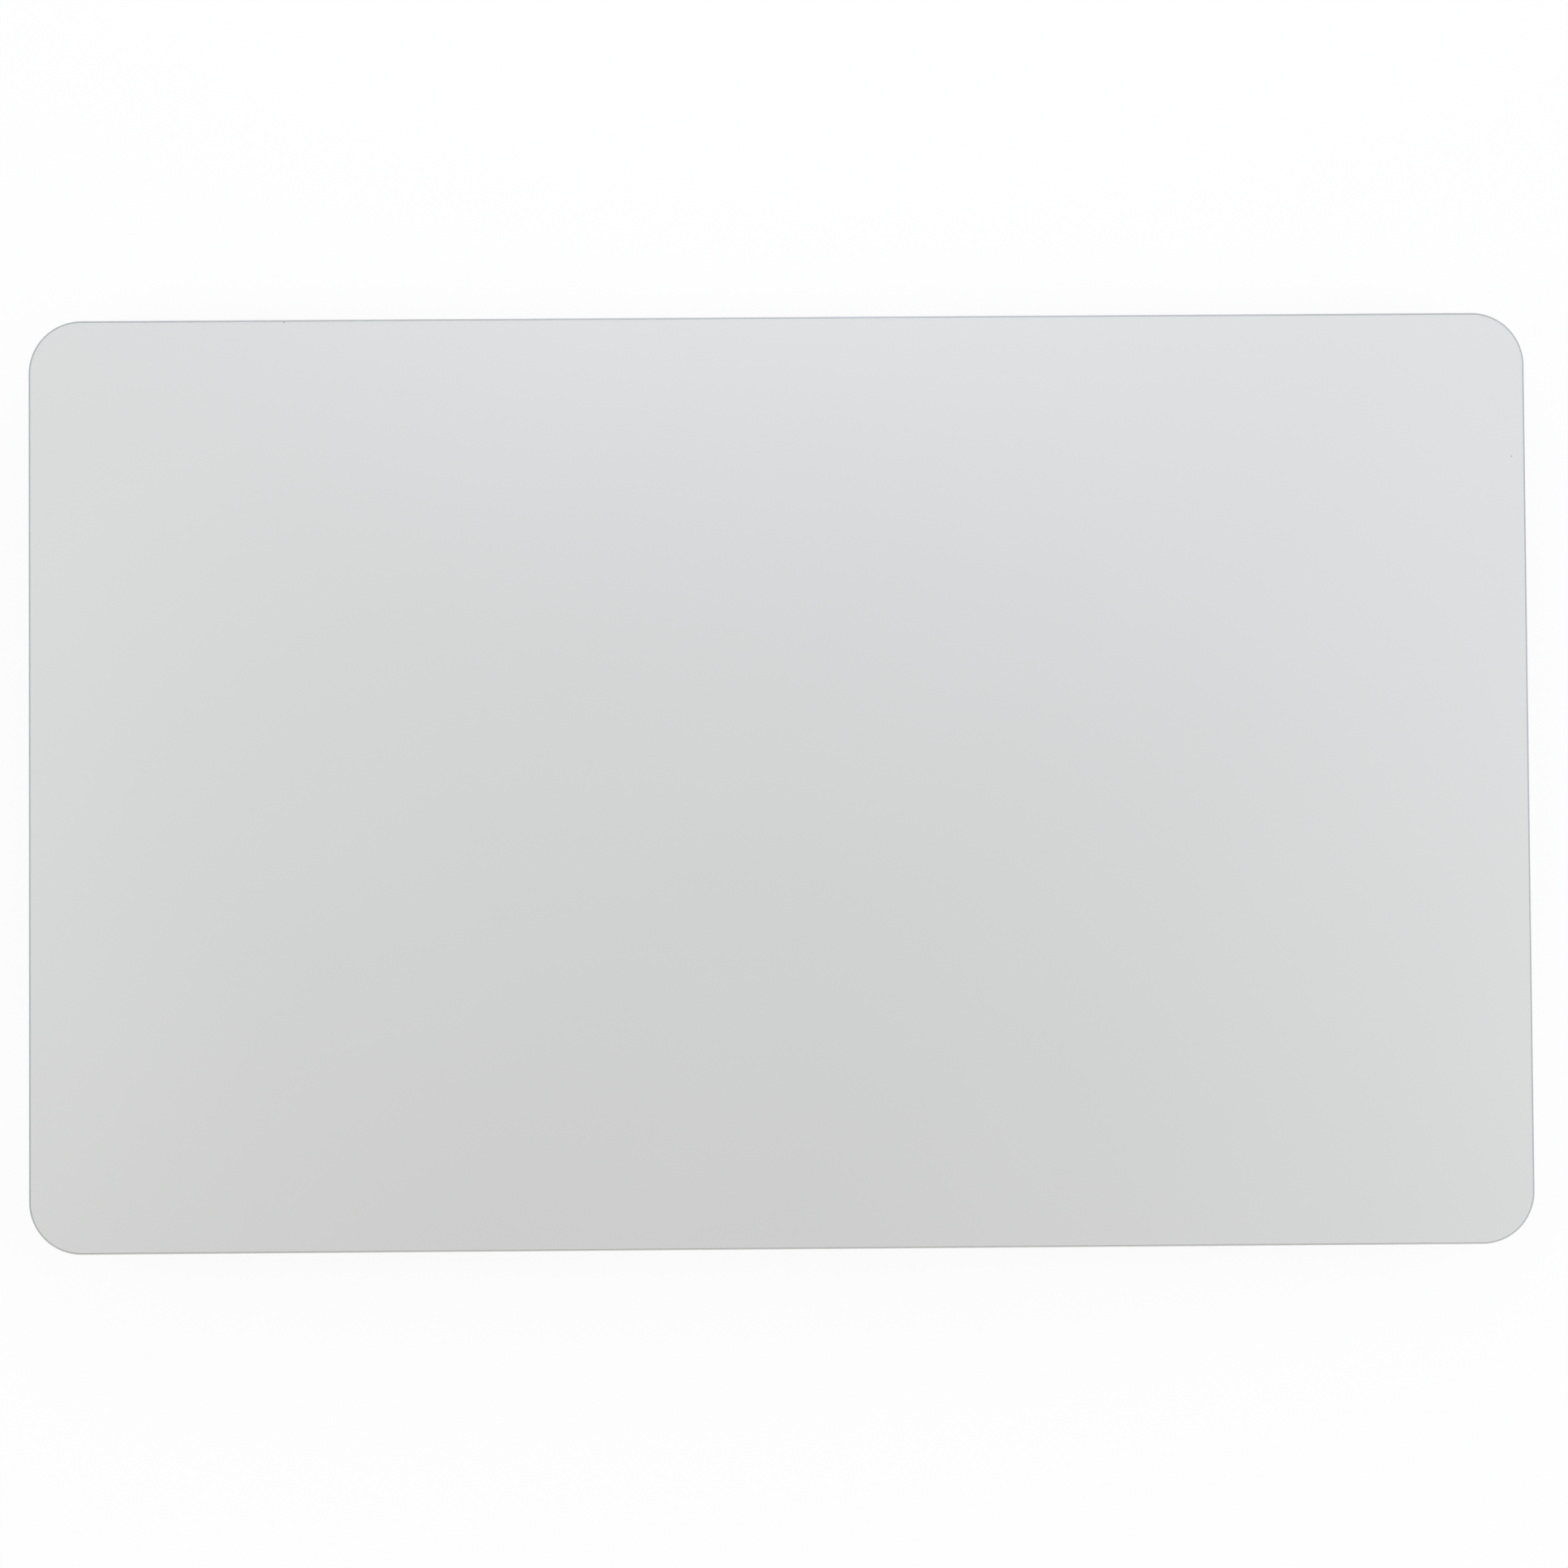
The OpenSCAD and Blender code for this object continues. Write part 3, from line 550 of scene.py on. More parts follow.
FINISHES: dict[Slot, Finish] = {
    Slot.GLASS: SatinGlass(
        "satin_glass", (0.709, 0.704, 0.686), (0.699, 0.694, 0.676), 0.46, 0.08, relief=0.0006,
        swing=0.05, marks=GLASS_MARKS,
    ),
    Slot.BOND: Finish("clear_bond", (0.6, 0.61, 0.6), (0.52, 0.53, 0.52), 0.35, 0.6, coat=0.2),
    Slot.BOARD: Routed(
        "black_solder_mask", (0.009, 0.0105, 0.012), (0.02, 0.0245, 0.026), 0.34, 0.25,
        relief=0.012, coat=0.25,
    ),
    Slot.FILM: Finish(
        "black_film", (0.012, 0.012, 0.013), (0.02, 0.02, 0.021), 0.52, 0.12, relief=0.004,
        worn=BLACK_WEAR,
    ),
    Slot.CAN: Steel(
        "tinned_steel", (0.63, 0.62, 0.59), (0.54, 0.53, 0.5), 0.3, 0.5, stretch=(1.0, 0.08, 1.0),
        relief=0.002,
    ),
    Slot.CHIP: Finish(
        "moulded_epoxy", (0.016, 0.016, 0.018), (0.027, 0.027, 0.029), 0.55, 0.06, relief=0.004,
        worn=BLACK_WEAR, worn_width=0.03,
    ),
    Slot.FERRITE: Finish(
        "pressed_ferrite", (0.07, 0.07, 0.075), (0.04, 0.04, 0.044), 0.62, 0.1, relief=0.008,
        worn=(0.16, 0.16, 0.165),
    ),
    Slot.CERAMIC: Finish(
        "fired_ceramic", (0.4, 0.25, 0.13), (0.33, 0.2, 0.1), 0.48, 0.1, relief=0.003,
        worn=(0.5, 0.36, 0.22), worn_width=0.03,
    ),
    Slot.RESISTOR: Finish(
        "glazed_resistor", (0.014, 0.015, 0.017), (0.022, 0.023, 0.027), 0.25, 0.2, coat=0.4
    ),
    Slot.SOCKET: Finish(
        "ivory_housing", (0.66, 0.58, 0.43), (0.58, 0.5, 0.36), 0.44, 0.18, stretch=(1.0, 0.3, 1.0),
        relief=0.003, worn=(0.75, 0.69, 0.56),
    ),
    Slot.CONTACT: Finish(
        "gold_flash", (0.86, 0.59, 0.22), (0.76, 0.5, 0.18), 0.24, 0.2, metal=1.0,
        worn=(0.93, 0.72, 0.36), worn_width=0.03,
    ),
    Slot.LATCH: Finish(
        "black_latch", (0.02, 0.02, 0.021), (0.032, 0.032, 0.033), 0.42, 0.15, relief=0.003,
        worn=BLACK_WEAR,
    ),
    Slot.FLEX: Traced(
        "amber_flex", (0.4, 0.15, 0.022), (0.33, 0.115, 0.016), 0.3, 0.3, relief=0.01, coat=0.5,
        axis="X", pitch=0.375,
    ),
    Slot.CORE: Layered(
        "core_plates", (0.4, 0.4, 0.41), (0.15, 0.145, 0.15), 0.42, 0.15, relief=0.012, metal=0.9,
        layer=0.2,
    ),
    Slot.PAD: Finish(
        "foam_adhesive", (0.5, 0.29, 0.09), (0.38, 0.21, 0.06), 0.8, 0.08, relief=0.02
    ),
    Slot.SCREW: Steel(
        "plated_screw", (0.58, 0.57, 0.55), (0.47, 0.46, 0.44), 0.3, 0.12, worn_width=0.04
    ),
    Slot.BOBBIN: Finish(
        "black_bobbin", (0.022, 0.022, 0.024), (0.034, 0.034, 0.036), 0.46, 0.12, relief=0.003,
        worn=BLACK_WEAR, worn_width=0.03,
    ),
    Slot.WIRE: Finish(
        "enamelled_copper", (0.74, 0.27, 0.085), (0.62, 0.2, 0.055), 0.24, 0.3, relief=0.001,
        metal=0.95, coat=0.6,
    ),
    Slot.GEL: Finish(
        "damping_gel", (0.72, 0.78, 0.8), (0.66, 0.73, 0.76), 0.2, 0.4, relief=0.004, clear=0.65
    ),
    Slot.FOOT: Steel(
        "stamped_foot", (0.56, 0.56, 0.55), (0.46, 0.46, 0.455), 0.36, 0.1, stretch=(0.06, 1.0, 1.0)
    ),
    Slot.SPRING: Steel(
        "spring_strip", (0.6, 0.61, 0.61), (0.52, 0.53, 0.53), 0.22, 0.08, stretch=(0.03, 1.0, 1.0),
        relief=0.001, worn_width=0.04,
    ),
    Slot.GAUGE: Finish(
        "gauge_film", (0.46, 0.2, 0.035), (0.39, 0.16, 0.026), 0.28, 0.25, relief=0.002, coat=0.4
    ),
    Slot.CLAMP: Steel(
        "stamped_clamp", (0.5, 0.5, 0.5), (0.42, 0.42, 0.42), 0.38, 0.1, stretch=(0.06, 1.0, 1.0)
    ),
    Slot.FRAME: Steel(
        "brushed_steel", (0.58, 0.58, 0.575), (0.46, 0.46, 0.455), 0.34, 0.09,
        stretch=(1.0, 0.02, 1.0), relief=0.002,
    ),
    Slot.ARMATURE: Steel(
        "nickelled_bar", (0.5, 0.49, 0.46), (0.4, 0.39, 0.365), 0.34, 0.12, stretch=(0.03, 1.0, 1.0)
    ),
    Slot.POST: Steel(
        "turned_post", (0.62, 0.58, 0.48), (0.52, 0.48, 0.39), 0.3, 0.06, stretch=(0.25, 0.25, 2.0),
        relief=0.002, worn=(0.8, 0.76, 0.66),
    ),
    Slot.SHIM: Finish(
        "rolled_shim", (0.62, 0.62, 0.61), (0.53, 0.53, 0.52), 0.3, 0.07, stretch=(0.05, 1.0, 1.0),
        metal=1.0,
    ),
    Slot.STOP: Finish(
        "black_rubber", (0.017, 0.017, 0.017), (0.028, 0.028, 0.028), 0.72, 0.1, relief=0.008
    ),
}


class Extra(Enum):
    """Finishes beside the record's slots."""

    # Rim of the glass: its tone is set darker than the face partly for the ground glass edge and
    # partly as painted shade that draws the dark outline.
    RIM = Finish(
        "ground_glass_edge", (0.45, 0.455, 0.455), (0.41, 0.415, 0.415), 0.4, 0.05, relief=0.002
    )
    LAMINATE = Layered(
        "board_edge", (0.075, 0.06, 0.035), (0.03, 0.024, 0.016), 0.62, 0.08, relief=0.012,
        layer=0.16,
    )
    SOLDER = Finish(
        "reflowed_tin", (0.66, 0.65, 0.63), (0.56, 0.55, 0.53), 0.26, 0.12, relief=0.003, metal=1.0
    )
    FOIL = Finish("gauge_foil", (0.56, 0.42, 0.3), (0.47, 0.35, 0.25), 0.3, 0.06, metal=1.0)
    BUS = replace(FINISHES[Slot.FLEX], name="amber_flex_bus", axis="Y", pitch=0.5)


class Palette:
    """Builds each finish's material once."""

    def __init__(self) -> None:
        """Starts with no material built."""
        self.built: dict[str, bpy.types.Material] = {}

    def of(self, choice: Slot | Extra) -> bpy.types.Material:
        """Material of a finish.

        Args:
            choice: A slot of the record, or an extra finish.

        Returns:
            Its material.
        """
        finish = FINISHES[choice] if isinstance(choice, Slot) else choice.value
        if finish.name not in self.built:
            self.built[finish.name] = finish.material()
        return self.built[finish.name]


PALETTE = Palette()


@dataclass(frozen=True)
class Box:
    """Lowest and highest corners of a solid at rest."""

    low: Vector
    high: Vector

    @classmethod
    def of(cls, node: str) -> "Box":
        """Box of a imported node."""
        return cls(*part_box(node))

    @property
    def centre(self) -> Vector:
        """Middle of the box."""
        return (self.low + self.high) / 2.0

    @property
    def size(self) -> Vector:
        """Lengths of the sides."""
        return self.high - self.low

    @property
    def foot(self) -> Vector:
        """Middle of the underside."""
        return Vector((self.centre.x, self.centre.y, self.low.z))


def merged_copy(node: str) -> Shape:
    """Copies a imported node's mesh and joins its loose triangles.

    Args:
        node: Name of the node.

    Returns:
        The copy.
    """
    shape = bmesh.new()
    shape.from_mesh(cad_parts[node].data)
    bmesh.ops.remove_doubles(shape, verts=shape.verts, dist=COPY_WELD)
    return shape


def solids_of(node: str) -> list[Box]:
    """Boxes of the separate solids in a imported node.

    Args:
        node: Name of the node.

    Returns:
        One box for each solid, from front to back and left to right.
    """
    shape = merged_copy(node)
    waiting = set(shape.verts)
    found = []
    while waiting:
        stack = [waiting.pop()]
        points = []
        while stack:
            vertex = stack.pop()
            points.append(vertex.co.copy())
            near = {edge.other_vert(vertex) for edge in vertex.link_edges} & waiting
            waiting -= near
            stack.extend(near)
        low = Vector([min(p[i] for p in points) for i in range(3)])
        high = Vector([max(p[i] for p in points) for i in range(3)])
        found.append(Box(low, high))
    shape.free()
    digits = SORT_DIGITS
    return sorted(found, key=lambda box: (round(box.centre.y, digits), round(box.centre.x, digits)))


def put(name: str, data: Any) -> Piece:
    """Puts a new object into the scene.

    Args:
        name: Its name.
        data: Its mesh, light or camera.

    Returns:
        The object.
    """
    made = bpy.data.objects.new(name, data)
    bpy.context.collection.objects.link(made)
    return made


def evaluated(piece: Piece, modifier: bpy.types.Modifier) -> None:
    """Keeps what a modifier makes of a piece as a plain mesh.

    Args:
        piece: The piece.
        modifier: Its modifier, which is removed.
    """
    depsgraph = bpy.context.evaluated_depsgraph_get()
    mesh = bpy.data.meshes.new_from_object(
        piece.evaluated_get(depsgraph), preserve_all_data_layers=True, depsgraph=depsgraph
    )
    piece.modifiers.remove(modifier)
    piece.data = mesh
    mesh.name = piece.name


def shade(piece: Piece, below: float = SMOOTH_BELOW) -> None:
    """Smooths a piece, with its large faces kept flat.

    Args:
        piece: The piece.
        below: Angle in degrees below which neighbouring faces are smoothed.
    """
    piece.data.shade_smooth()
    piece.data.set_sharp_from_angle(angle=math.radians(below))
    modifier = piece.modifiers.new("flat_faces", "WEIGHTED_NORMAL")
    modifier.keep_sharp = True
    evaluated(piece, modifier)


def piece_of(name: str, shape: Shape, finish: Slot | Extra, below: float = SMOOTH_BELOW) -> Piece:
    """Turns a shape into a piece at the origin, closed and facing outwards.

    Args:
        name: Name of the piece.
        shape: Its geometry, which is used up.
        finish: Its finish.
        below: Angle in degrees below which neighbouring faces are smoothed.

    Returns:
        The new object.
    """
    bmesh.ops.remove_doubles(shape, verts=shape.verts, dist=WELD)
    bmesh.ops.recalc_face_normals(shape, faces=shape.faces)
    if shape.calc_volume(signed=True) < 0.0:
        bmesh.ops.reverse_faces(shape, faces=shape.faces)
    mesh = bpy.data.meshes.new(name)
    shape.to_mesh(mesh)
    shape.free()
    mesh.materials.append(PALETTE.of(finish))
    made = put(name, mesh)
    shade(made, below)
    return made


def settle(piece: Piece, slot: Slot, body: Body, *nodes: str) -> None:
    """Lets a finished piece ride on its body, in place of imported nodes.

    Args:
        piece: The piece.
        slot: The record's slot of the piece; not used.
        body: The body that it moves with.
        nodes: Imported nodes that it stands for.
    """
    if nodes:
        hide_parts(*nodes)
    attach(piece, body.value)
    LOG.info("%s rides on %s", piece.name, body.value)


def bend(
    piece: Piece, slot: Slot, bodies: tuple[Body, Body], span: tuple[Vector, ...], *nodes: str
) -> None:
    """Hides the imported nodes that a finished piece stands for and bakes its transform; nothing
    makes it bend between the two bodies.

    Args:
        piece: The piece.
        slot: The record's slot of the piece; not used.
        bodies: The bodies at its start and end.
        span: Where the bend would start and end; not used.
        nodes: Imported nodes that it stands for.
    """
    if nodes:
        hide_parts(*nodes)
    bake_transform(piece)
    LOG.info("%s bends from %s to %s", piece.name, bodies[0].value, bodies[1].value)


@dataclass(frozen=True)
class Ring:
    """One ring of a turned shape: radius, height, and how far lobes swing the radius."""

    r: float
    z: float
    lobe: float = 0.0


LOBES = 6
POLE = 1e-9
DISC_SIDES = 16


def bridge_rows(shape: Shape, first: Sequence[Any], second: Sequence[Any]) -> None:
    """Joins two rows of vertices that close on themselves, or a row and a single pole.

    Args:
        shape: The geometry to add to.
        first: One row.
        second: The other row.
    """
    for k in range(max(len(first), len(second))):
        around = ((first, k), (first, k + 1), (second, k + 1), (second, k))
        corners = dict.fromkeys(row[i % len(row)] for row, i in around)
        if len(corners) > 2:
            shape.faces.new(tuple(corners))


def turn(
    shape: Shape, rings: Sequence[Ring], at: Vector | None = None,
    segments: int = 32, closed: bool = False,
) -> Shape:
    """Adds a shape turned about a vertical axis.

    Args:
        shape: The geometry to add to.
        rings: Rings in order along the outline. One of no radius is a pole.
        at: The axis and the height that ring heights count from.
        segments: Number of steps round the axis.
        closed: Whether the last ring joins the first, as round a bore.

    Returns:
        The same geometry.
    """
    origin = at or Vector()
    rows = []
    for ring in rings:
        if ring.r < POLE:
            rows.append([shape.verts.new(origin + Vector((0.0, 0.0, ring.z)))])
            continue
        row = []
        for k in range(segments):
            angle = math.tau * k / segments
            reach = ring.r + ring.lobe * math.cos(LOBES * angle)
            spot = Vector((reach * math.cos(angle), reach * math.sin(angle), ring.z))
            row.append(shape.verts.new(origin + spot))
        rows.append(row)
    following = rows[1:] + (rows[:1] if closed else [])
    for first, second in zip(rows, following):
        bridge_rows(shape, first, second)
    return shape


def dome(radius: float, height: float, base: float = 0.0, steps: int = 5) -> list[Ring]:
    """Rings of a dome from just past its rim to its pole, hung down by a negative height."""
    angles = [math.pi / 2.0 * k / steps for k in range(1, steps + 1)]
    return [Ring(radius * math.cos(a), base + height * math.sin(a)) for a in angles]


def disc(radius: float, height: float, crown: float = 0.0) -> Shape:
    """A flat disc of this height above its origin, with a domed crown below if it has one."""
    rings = [Ring(0.0, height), Ring(radius, height), Ring(radius, 0.0)]
    return turn(bmesh.new(), rings + dome(radius, -crown), segments=DISC_SIDES)


def loft(shape: Shape, sections: Sequence[Sequence[Vector]]) -> None:
    """Adds a shape drawn through closed sections, with flat ends.

    Args:
        shape: The geometry to add to.
        sections: Points of each section.
    """
    rows = [[shape.verts.new(spot) for spot in section] for section in sections]
    for first, second in zip(rows, rows[1:]):
        bridge_rows(shape, first, second)
    shape.faces.new(rows[0])
    shape.faces.new(rows[-1])


def round_edges(
    shape: Shape, edges: Sequence[Any], width: float, segments: int, clamp: bool = False
) -> None:
    """Rounds edges of a shape.

    Args:
        shape: The geometry to change.
        edges: The edges to round.
        width: Width of the rounding.
        segments: Steps in each rounded edge.
        clamp: Whether the width gives way where roundings would meet.
    """
    bmesh.ops.bevel(
        shape, geom=edges, offset=width, segments=segments, profile=0.5, affect="EDGES",
        clamp_overlap=clamp,
    )


def block(shape: Shape, low: Vector, high: Vector, edge: float, segments: int = 2) -> None:
    """Adds a box with rounded edges.

    Args:
        shape: The geometry to add to.
        low: Lowest corner.
        high: Highest corner.
        edge: Radius of the edges.
        segments: Steps in each rounded edge.
    """
    place = Matrix.LocRotScale((low + high) / 2.0, None, high - low)
    corners = bmesh.ops.create_cube(shape, size=1.0, matrix=place)["verts"]
    edges = list({link for corner in corners for link in corner.link_edges})
    round_edges(shape, edges, edge, segments)


def flattened(shape: Shape, below: float) -> None:
    """Joins the faces of a shape that meet below an angle in degrees."""
    limit = math.radians(below)
    bmesh.ops.dissolve_limit(shape, angle_limit=limit, verts=shape.verts, edges=shape.edges)


def soften(node: str, name: str, slot: Slot, body: Body, edge: float) -> None:
    """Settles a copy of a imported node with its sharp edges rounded, in the node's place.

    Args:
        node: Name of the node.
        name: Name of the piece.
        slot: Its finish.
        body: The body that it moves with.
        edge: Width of the rounding.
    """
    shape = merged_copy(node)
    flattened(shape, FLAT_BELOW)
    limit = math.radians(SHARP_FROM)
    edges = [link for link in shape.edges if link.calc_face_angle(0.0) > limit]
    round_edges(shape, edges, edge, 2, True)
    settle(piece_of(name, shape, slot), slot, body, node)


SHARPEST_TURN = 0.3


@dataclass(frozen=True)
class Outline:
    """A closed outline seen from above, anticlockwise."""

    points: tuple[Point, ...]

    @classmethod
    def rounded(cls, box: Box, radius: float, steps: int = 6) -> "Outline":
        """Outline of a box with rounded corners.

        Args:
            box: The box.
            radius: Corner radius.
            steps: Steps round each corner.

        Returns:
            The outline.
        """
        centre, half = box.centre, box.size / 2.0
        points = []
        for quarter, (sx, sy) in enumerate(((1, 1), (-1, 1), (-1, -1), (1, -1))):
            for k in range(steps + 1):
                angle = math.pi / 2.0 * (quarter + k / steps)
                x = centre.x + sx * (half.x - radius) + radius * math.cos(angle)
                y = centre.y + sy * (half.y - radius) + radius * math.sin(angle)
                points.append((x, y))
        return cls(tuple(points))

    @classmethod
    def circle(cls, centre: Vector, radius: float, steps: int = 32) -> "Outline":
        """Outline of a circle.

        Args:
            centre: Its middle.
            radius: Its radius.
            steps: Steps round it.

        Returns:
            The outline.
        """
        angles = [math.tau * k / steps for k in range(steps)]
        spokes = [(radius * math.cos(a), radius * math.sin(a)) for a in angles]
        return cls(tuple((centre.x + x, centre.y + y) for x, y in spokes))

    def inset(self, amount: float) -> list[Point]:
        """Moves the points into the outline, square to its sides.

        Args:
            amount: How far.

        Returns:
            The moved points.
        """
        moved = []
        count = len(self.points)
        for k, (x, y) in enumerate(self.points):
            before = Vector(self.points[k - 1])
            after = Vector(self.points[(k + 1) % count])
            here = Vector((x, y))
            first = (here - before).normalized()
            second = (after - here).normalized()
            left = Vector((-first.y - second.y, first.x + second.x))
            reach = left.normalized() * amount / max(SHARPEST_TURN, left.length / 2.0)
            moved.append((x + reach.x, y + reach.y))
        return moved


@dataclass(frozen=True)
class Stamping:
    """A plate cut to an outline, with holes, shallow pockets in its underside and broken edges."""

    outer: Outline
    z0: float
    z1: float
    edge: float
    holes: tuple[Outline, ...] = ()
    pockets: tuple[tuple[Outline, float], ...] = ()
    steps: int = 2

    def wall(self, shape: Shape, outline: Outline, sign: float) -> tuple[Any, Any]:
        """Adds a wall with broken edges.

        Args:
            shape: The geometry to add to.
            outline: Where the wall stands.
            sign: 1 on the outside and -1 round a hole.

        Returns:
            The rows of vertices at its foot and its top.
        """
        levels = []
        for k in range(self.steps + 1):
            angle = math.pi / 2.0 * k / self.steps
            levels.append(
                (self.z0 + self.edge * (1.0 - math.sin(angle)), self.edge * (1.0 - math.cos(angle)))
            )
        levels.reverse()
        levels += [(self.z0 + self.z1 - z, inset) for z, inset in reversed(levels)]
        rows = [
            [shape.verts.new((x, y, z)) for x, y in outline.inset(sign * inset)]
            for z, inset in levels
        ]
        for first, second in zip(rows, rows[1:]):
            bridge_rows(shape, first, second)
        return rows[0], rows[-1]

    def build(self, shape: Shape) -> None:
        """Adds the plate.

        Args:
            shape: The geometry to add to.
        """
        feet, tops = [], []
        for outline, sign in [(self.outer, 1.0)] + [(hole, -1.0) for hole in self.holes]:
            foot, top = self.wall(shape, outline, sign)
            feet.append(foot)
            tops.append(top)
        for outline, depth in self.pockets:
            mouth = [shape.verts.new((x, y, self.z0)) for x, y in outline.points]
            inner = outline.inset(depth / 2.0)
            floor = [shape.verts.new((x, y, self.z0 + depth)) for x, y in inner]
            bridge_rows(shape, mouth, floor)
            shape.faces.new(floor)
            feet.append(mouth)
        for rows, way in ((feet, -1.0), (tops, 1.0)):
            edges = []
            for row in rows:
                for k, vertex in enumerate(row):
                    edges.append(shape.edges.get((vertex, row[k - 1])))
            bmesh.ops.triangle_fill(
                shape, use_beauty=True, use_dissolve=False, edges=edges, normal=(0.0, 0.0, way)
            )


class Tree(Graph):
    """A Geometry Nodes tree with named inputs, ending in Realize Instances and Set Material."""

    def __init__(self, name: str) -> None:
        """Starts an empty tree.

        Args:
            name: Its name.
        """
        super().__init__(bpy.data.node_groups.new(name, "GeometryNodeTree"))
        self.tree.interface.new_socket(
            "Geometry", in_out="OUTPUT", socket_type="NodeSocketGeometry"
        )
        self.entry = self.tree.nodes.new("NodeGroupInput")
        self.inputs: dict[str, str] = {}
        self.start = self.size("Geometry", "Geometry")

    def size(self, label: str, kind: str = "Float") -> Socket:
        """Adds a named input.

        Args:
            label: Its name.
            kind: What it takes.

        Returns:
            Its socket.
        """
        made = self.tree.interface.new_socket(
            label, in_out="INPUT", socket_type=f"NodeSocket{kind}"
        )
        self.inputs[label] = made.identifier
        return self.entry.outputs[label]

    def slab(self, curve: Any, thick: Any) -> Socket:
        """Closed plate that stands on a flat curve.

        Args:
            curve: Socket of the closed curves, filled by turns from the outside in.
            thick: Its height.

        Returns:
            The socket of the plate.
        """
        fill = self.out("GeometryNodeFillCurve", {"Curve": curve}, mode="TRIANGLES")
        up = self.out("ShaderNodeCombineXYZ", {"Z": thick})
        raised = self.out(
            "GeometryNodeExtrudeMesh",
            {"Mesh": fill, "Offset": up, "Offset Scale": 1.0, "Individual": False},
        )
        under = self.out("GeometryNodeFlipFaces", {"Mesh": fill})
        both = self.join(raised, under)
        return self.out("GeometryNodeMergeByDistance", {"Geometry": both, "Distance": WELD})

    def join(self, *parts: Any) -> Socket:
        """Joins geometry.

        Args:
            parts: Sockets to join.

        Returns:
            The joined socket.
        """
        joined = self.node("GeometryNodeJoinGeometry")
        for part in reversed(parts):
            self.tree.links.new(part, joined.inputs[0])
        return joined.outputs[0]

    def rounded(self, width: Any, depth: Any, corner: Any, steps: Any) -> Socket:
        """Curve of a rectangle with rounded corners.

        Args:
            width: Its side along X.
            depth: Its side along Y.
            corner: Radius of its corners.
            steps: Steps round each corner.

        Returns:
            The socket of the curve.
        """
        sharp = self.out(
            "GeometryNodeCurvePrimitiveQuadrilateral", {"Width": width, "Height": depth}
        )
        ends = {"Curve": sharp, "Count": steps, "Radius": corner}
        return self.out("GeometryNodeFilletCurve", ends, mode="POLY")

    def moved(self, shape: Any, place: Any, spin: Any = (0.0, 0.0, 0.0)) -> Socket:
        """Geometry turned and put in its place."""
        ends = {"Geometry": shape, "Translation": place, "Rotation": spin}
        return self.out("GeometryNodeTransform", ends)

    def close(self, shape: Any) -> "Tree":
        """Ends the tree.

        Args:
            shape: Socket of what it makes.

        Returns:
            The same tree.
        """
        real = self.out("GeometryNodeRealizeInstances", {"Geometry": shape})
        ends = {"Geometry": real, "Material": self.size("Finish", "Material")}
        dressed = self.out("GeometryNodeSetMaterial", ends)
        self.node("NodeGroupOutput", {"Geometry": dressed})
        return self

    def grow(
        self, name: str, finish: Slot | Extra, sizes: Mapping[str, Any],
        base: bpy.types.Mesh | None = None, below: float | None = SMOOTH_BELOW,
    ) -> Piece:
        """Runs the tree once and keeps its result as a plain mesh.

        Args:
            name: Name of the piece.
            finish: Its finish.
            sizes: Values of the named inputs.
            base: Mesh that the tree starts from, if it needs one.
            below: Angle in degrees below which faces are smoothed, or None to leave that.

        Returns:
            The new object.
        """
        made = put(name, base or bpy.data.meshes.new(name))
        modifier = made.modifiers.new(self.tree.name, "NODES")
        modifier.node_group = self.tree
        for label, value in {**sizes, "Finish": PALETTE.of(finish)}.items():
            modifier[self.inputs[label]] = value
        evaluated(made, modifier)
        made.data.materials.clear()
        made.data.materials.append(PALETTE.of(finish))
        made.data.polygons.foreach_set("material_index", [0] * len(made.data.polygons))
        if below is not None:
            shade(made, below)
        return made


CORNER_STEPS = 6
CAN_STEPS = 5
PAD_SIDES = 12
HOLE_SIDES = 14


def plate_tree() -> Tree:
    """Builds the tree of a flat plate with rounded corners.

    Returns:
        The tree.
    """
    tree = Tree("rounded_plate")
    outline = tree.rounded(
        tree.size("Width"), tree.size("Depth"), tree.size("Corner"), tree.size("Steps", "Int")
    )
    plate = tree.slab(outline, tree.size("Thickness"))
    return tree.close(tree.moved(plate, tree.size("Place", "Vector")))


def copies_tree() -> Tree:
    """Builds the tree that sets a part at each vertex of a base mesh, turned by chance.

    Returns:
        The tree.
    """
    tree = Tree("copies_at_marks")
    part = tree.node("GeometryNodeObjectInfo", {"Object": tree.size("Part", "Object")})
    most = tree.out("ShaderNodeCombineXYZ", {"Z": tree.size("Spin")})
    spin = tree.out(
        "FunctionNodeRandomValue", {0: (0.0, 0.0, 0.0), 1: most, "Seed": tree.size("Seed", "Int")},
        data_type="FLOAT_VECTOR",
    )
    ends = {"Points": tree.start, "Instance": part.outputs["Geometry"], "Rotation": spin}
    return tree.close(tree.out("GeometryNodeInstanceOnPoints", ends))


def border_tree() -> Tree:
    """Builds the tree that sets round pads along a rounded border.

    Returns:
        The tree.
    """
    tree = Tree("pads_along_border")
    path = tree.rounded(tree.size("Width"), tree.size("Depth"), tree.size("Corner"), CORNER_STEPS)
    places = tree.out(
        "GeometryNodeCurveToPoints", {"Curve": path, "Length": tree.size("Spacing")}, mode="LENGTH"
    )
    pad = tree.out(
        "GeometryNodeMeshCylinder",
        {"Vertices": PAD_SIDES, "Radius": tree.size("Radius"), "Depth": tree.size("Thickness")},
    )
    pads = tree.out("GeometryNodeInstanceOnPoints", {"Points": places, "Instance": pad})
    return tree.close(tree.moved(pads, tree.size("Place", "Vector")))


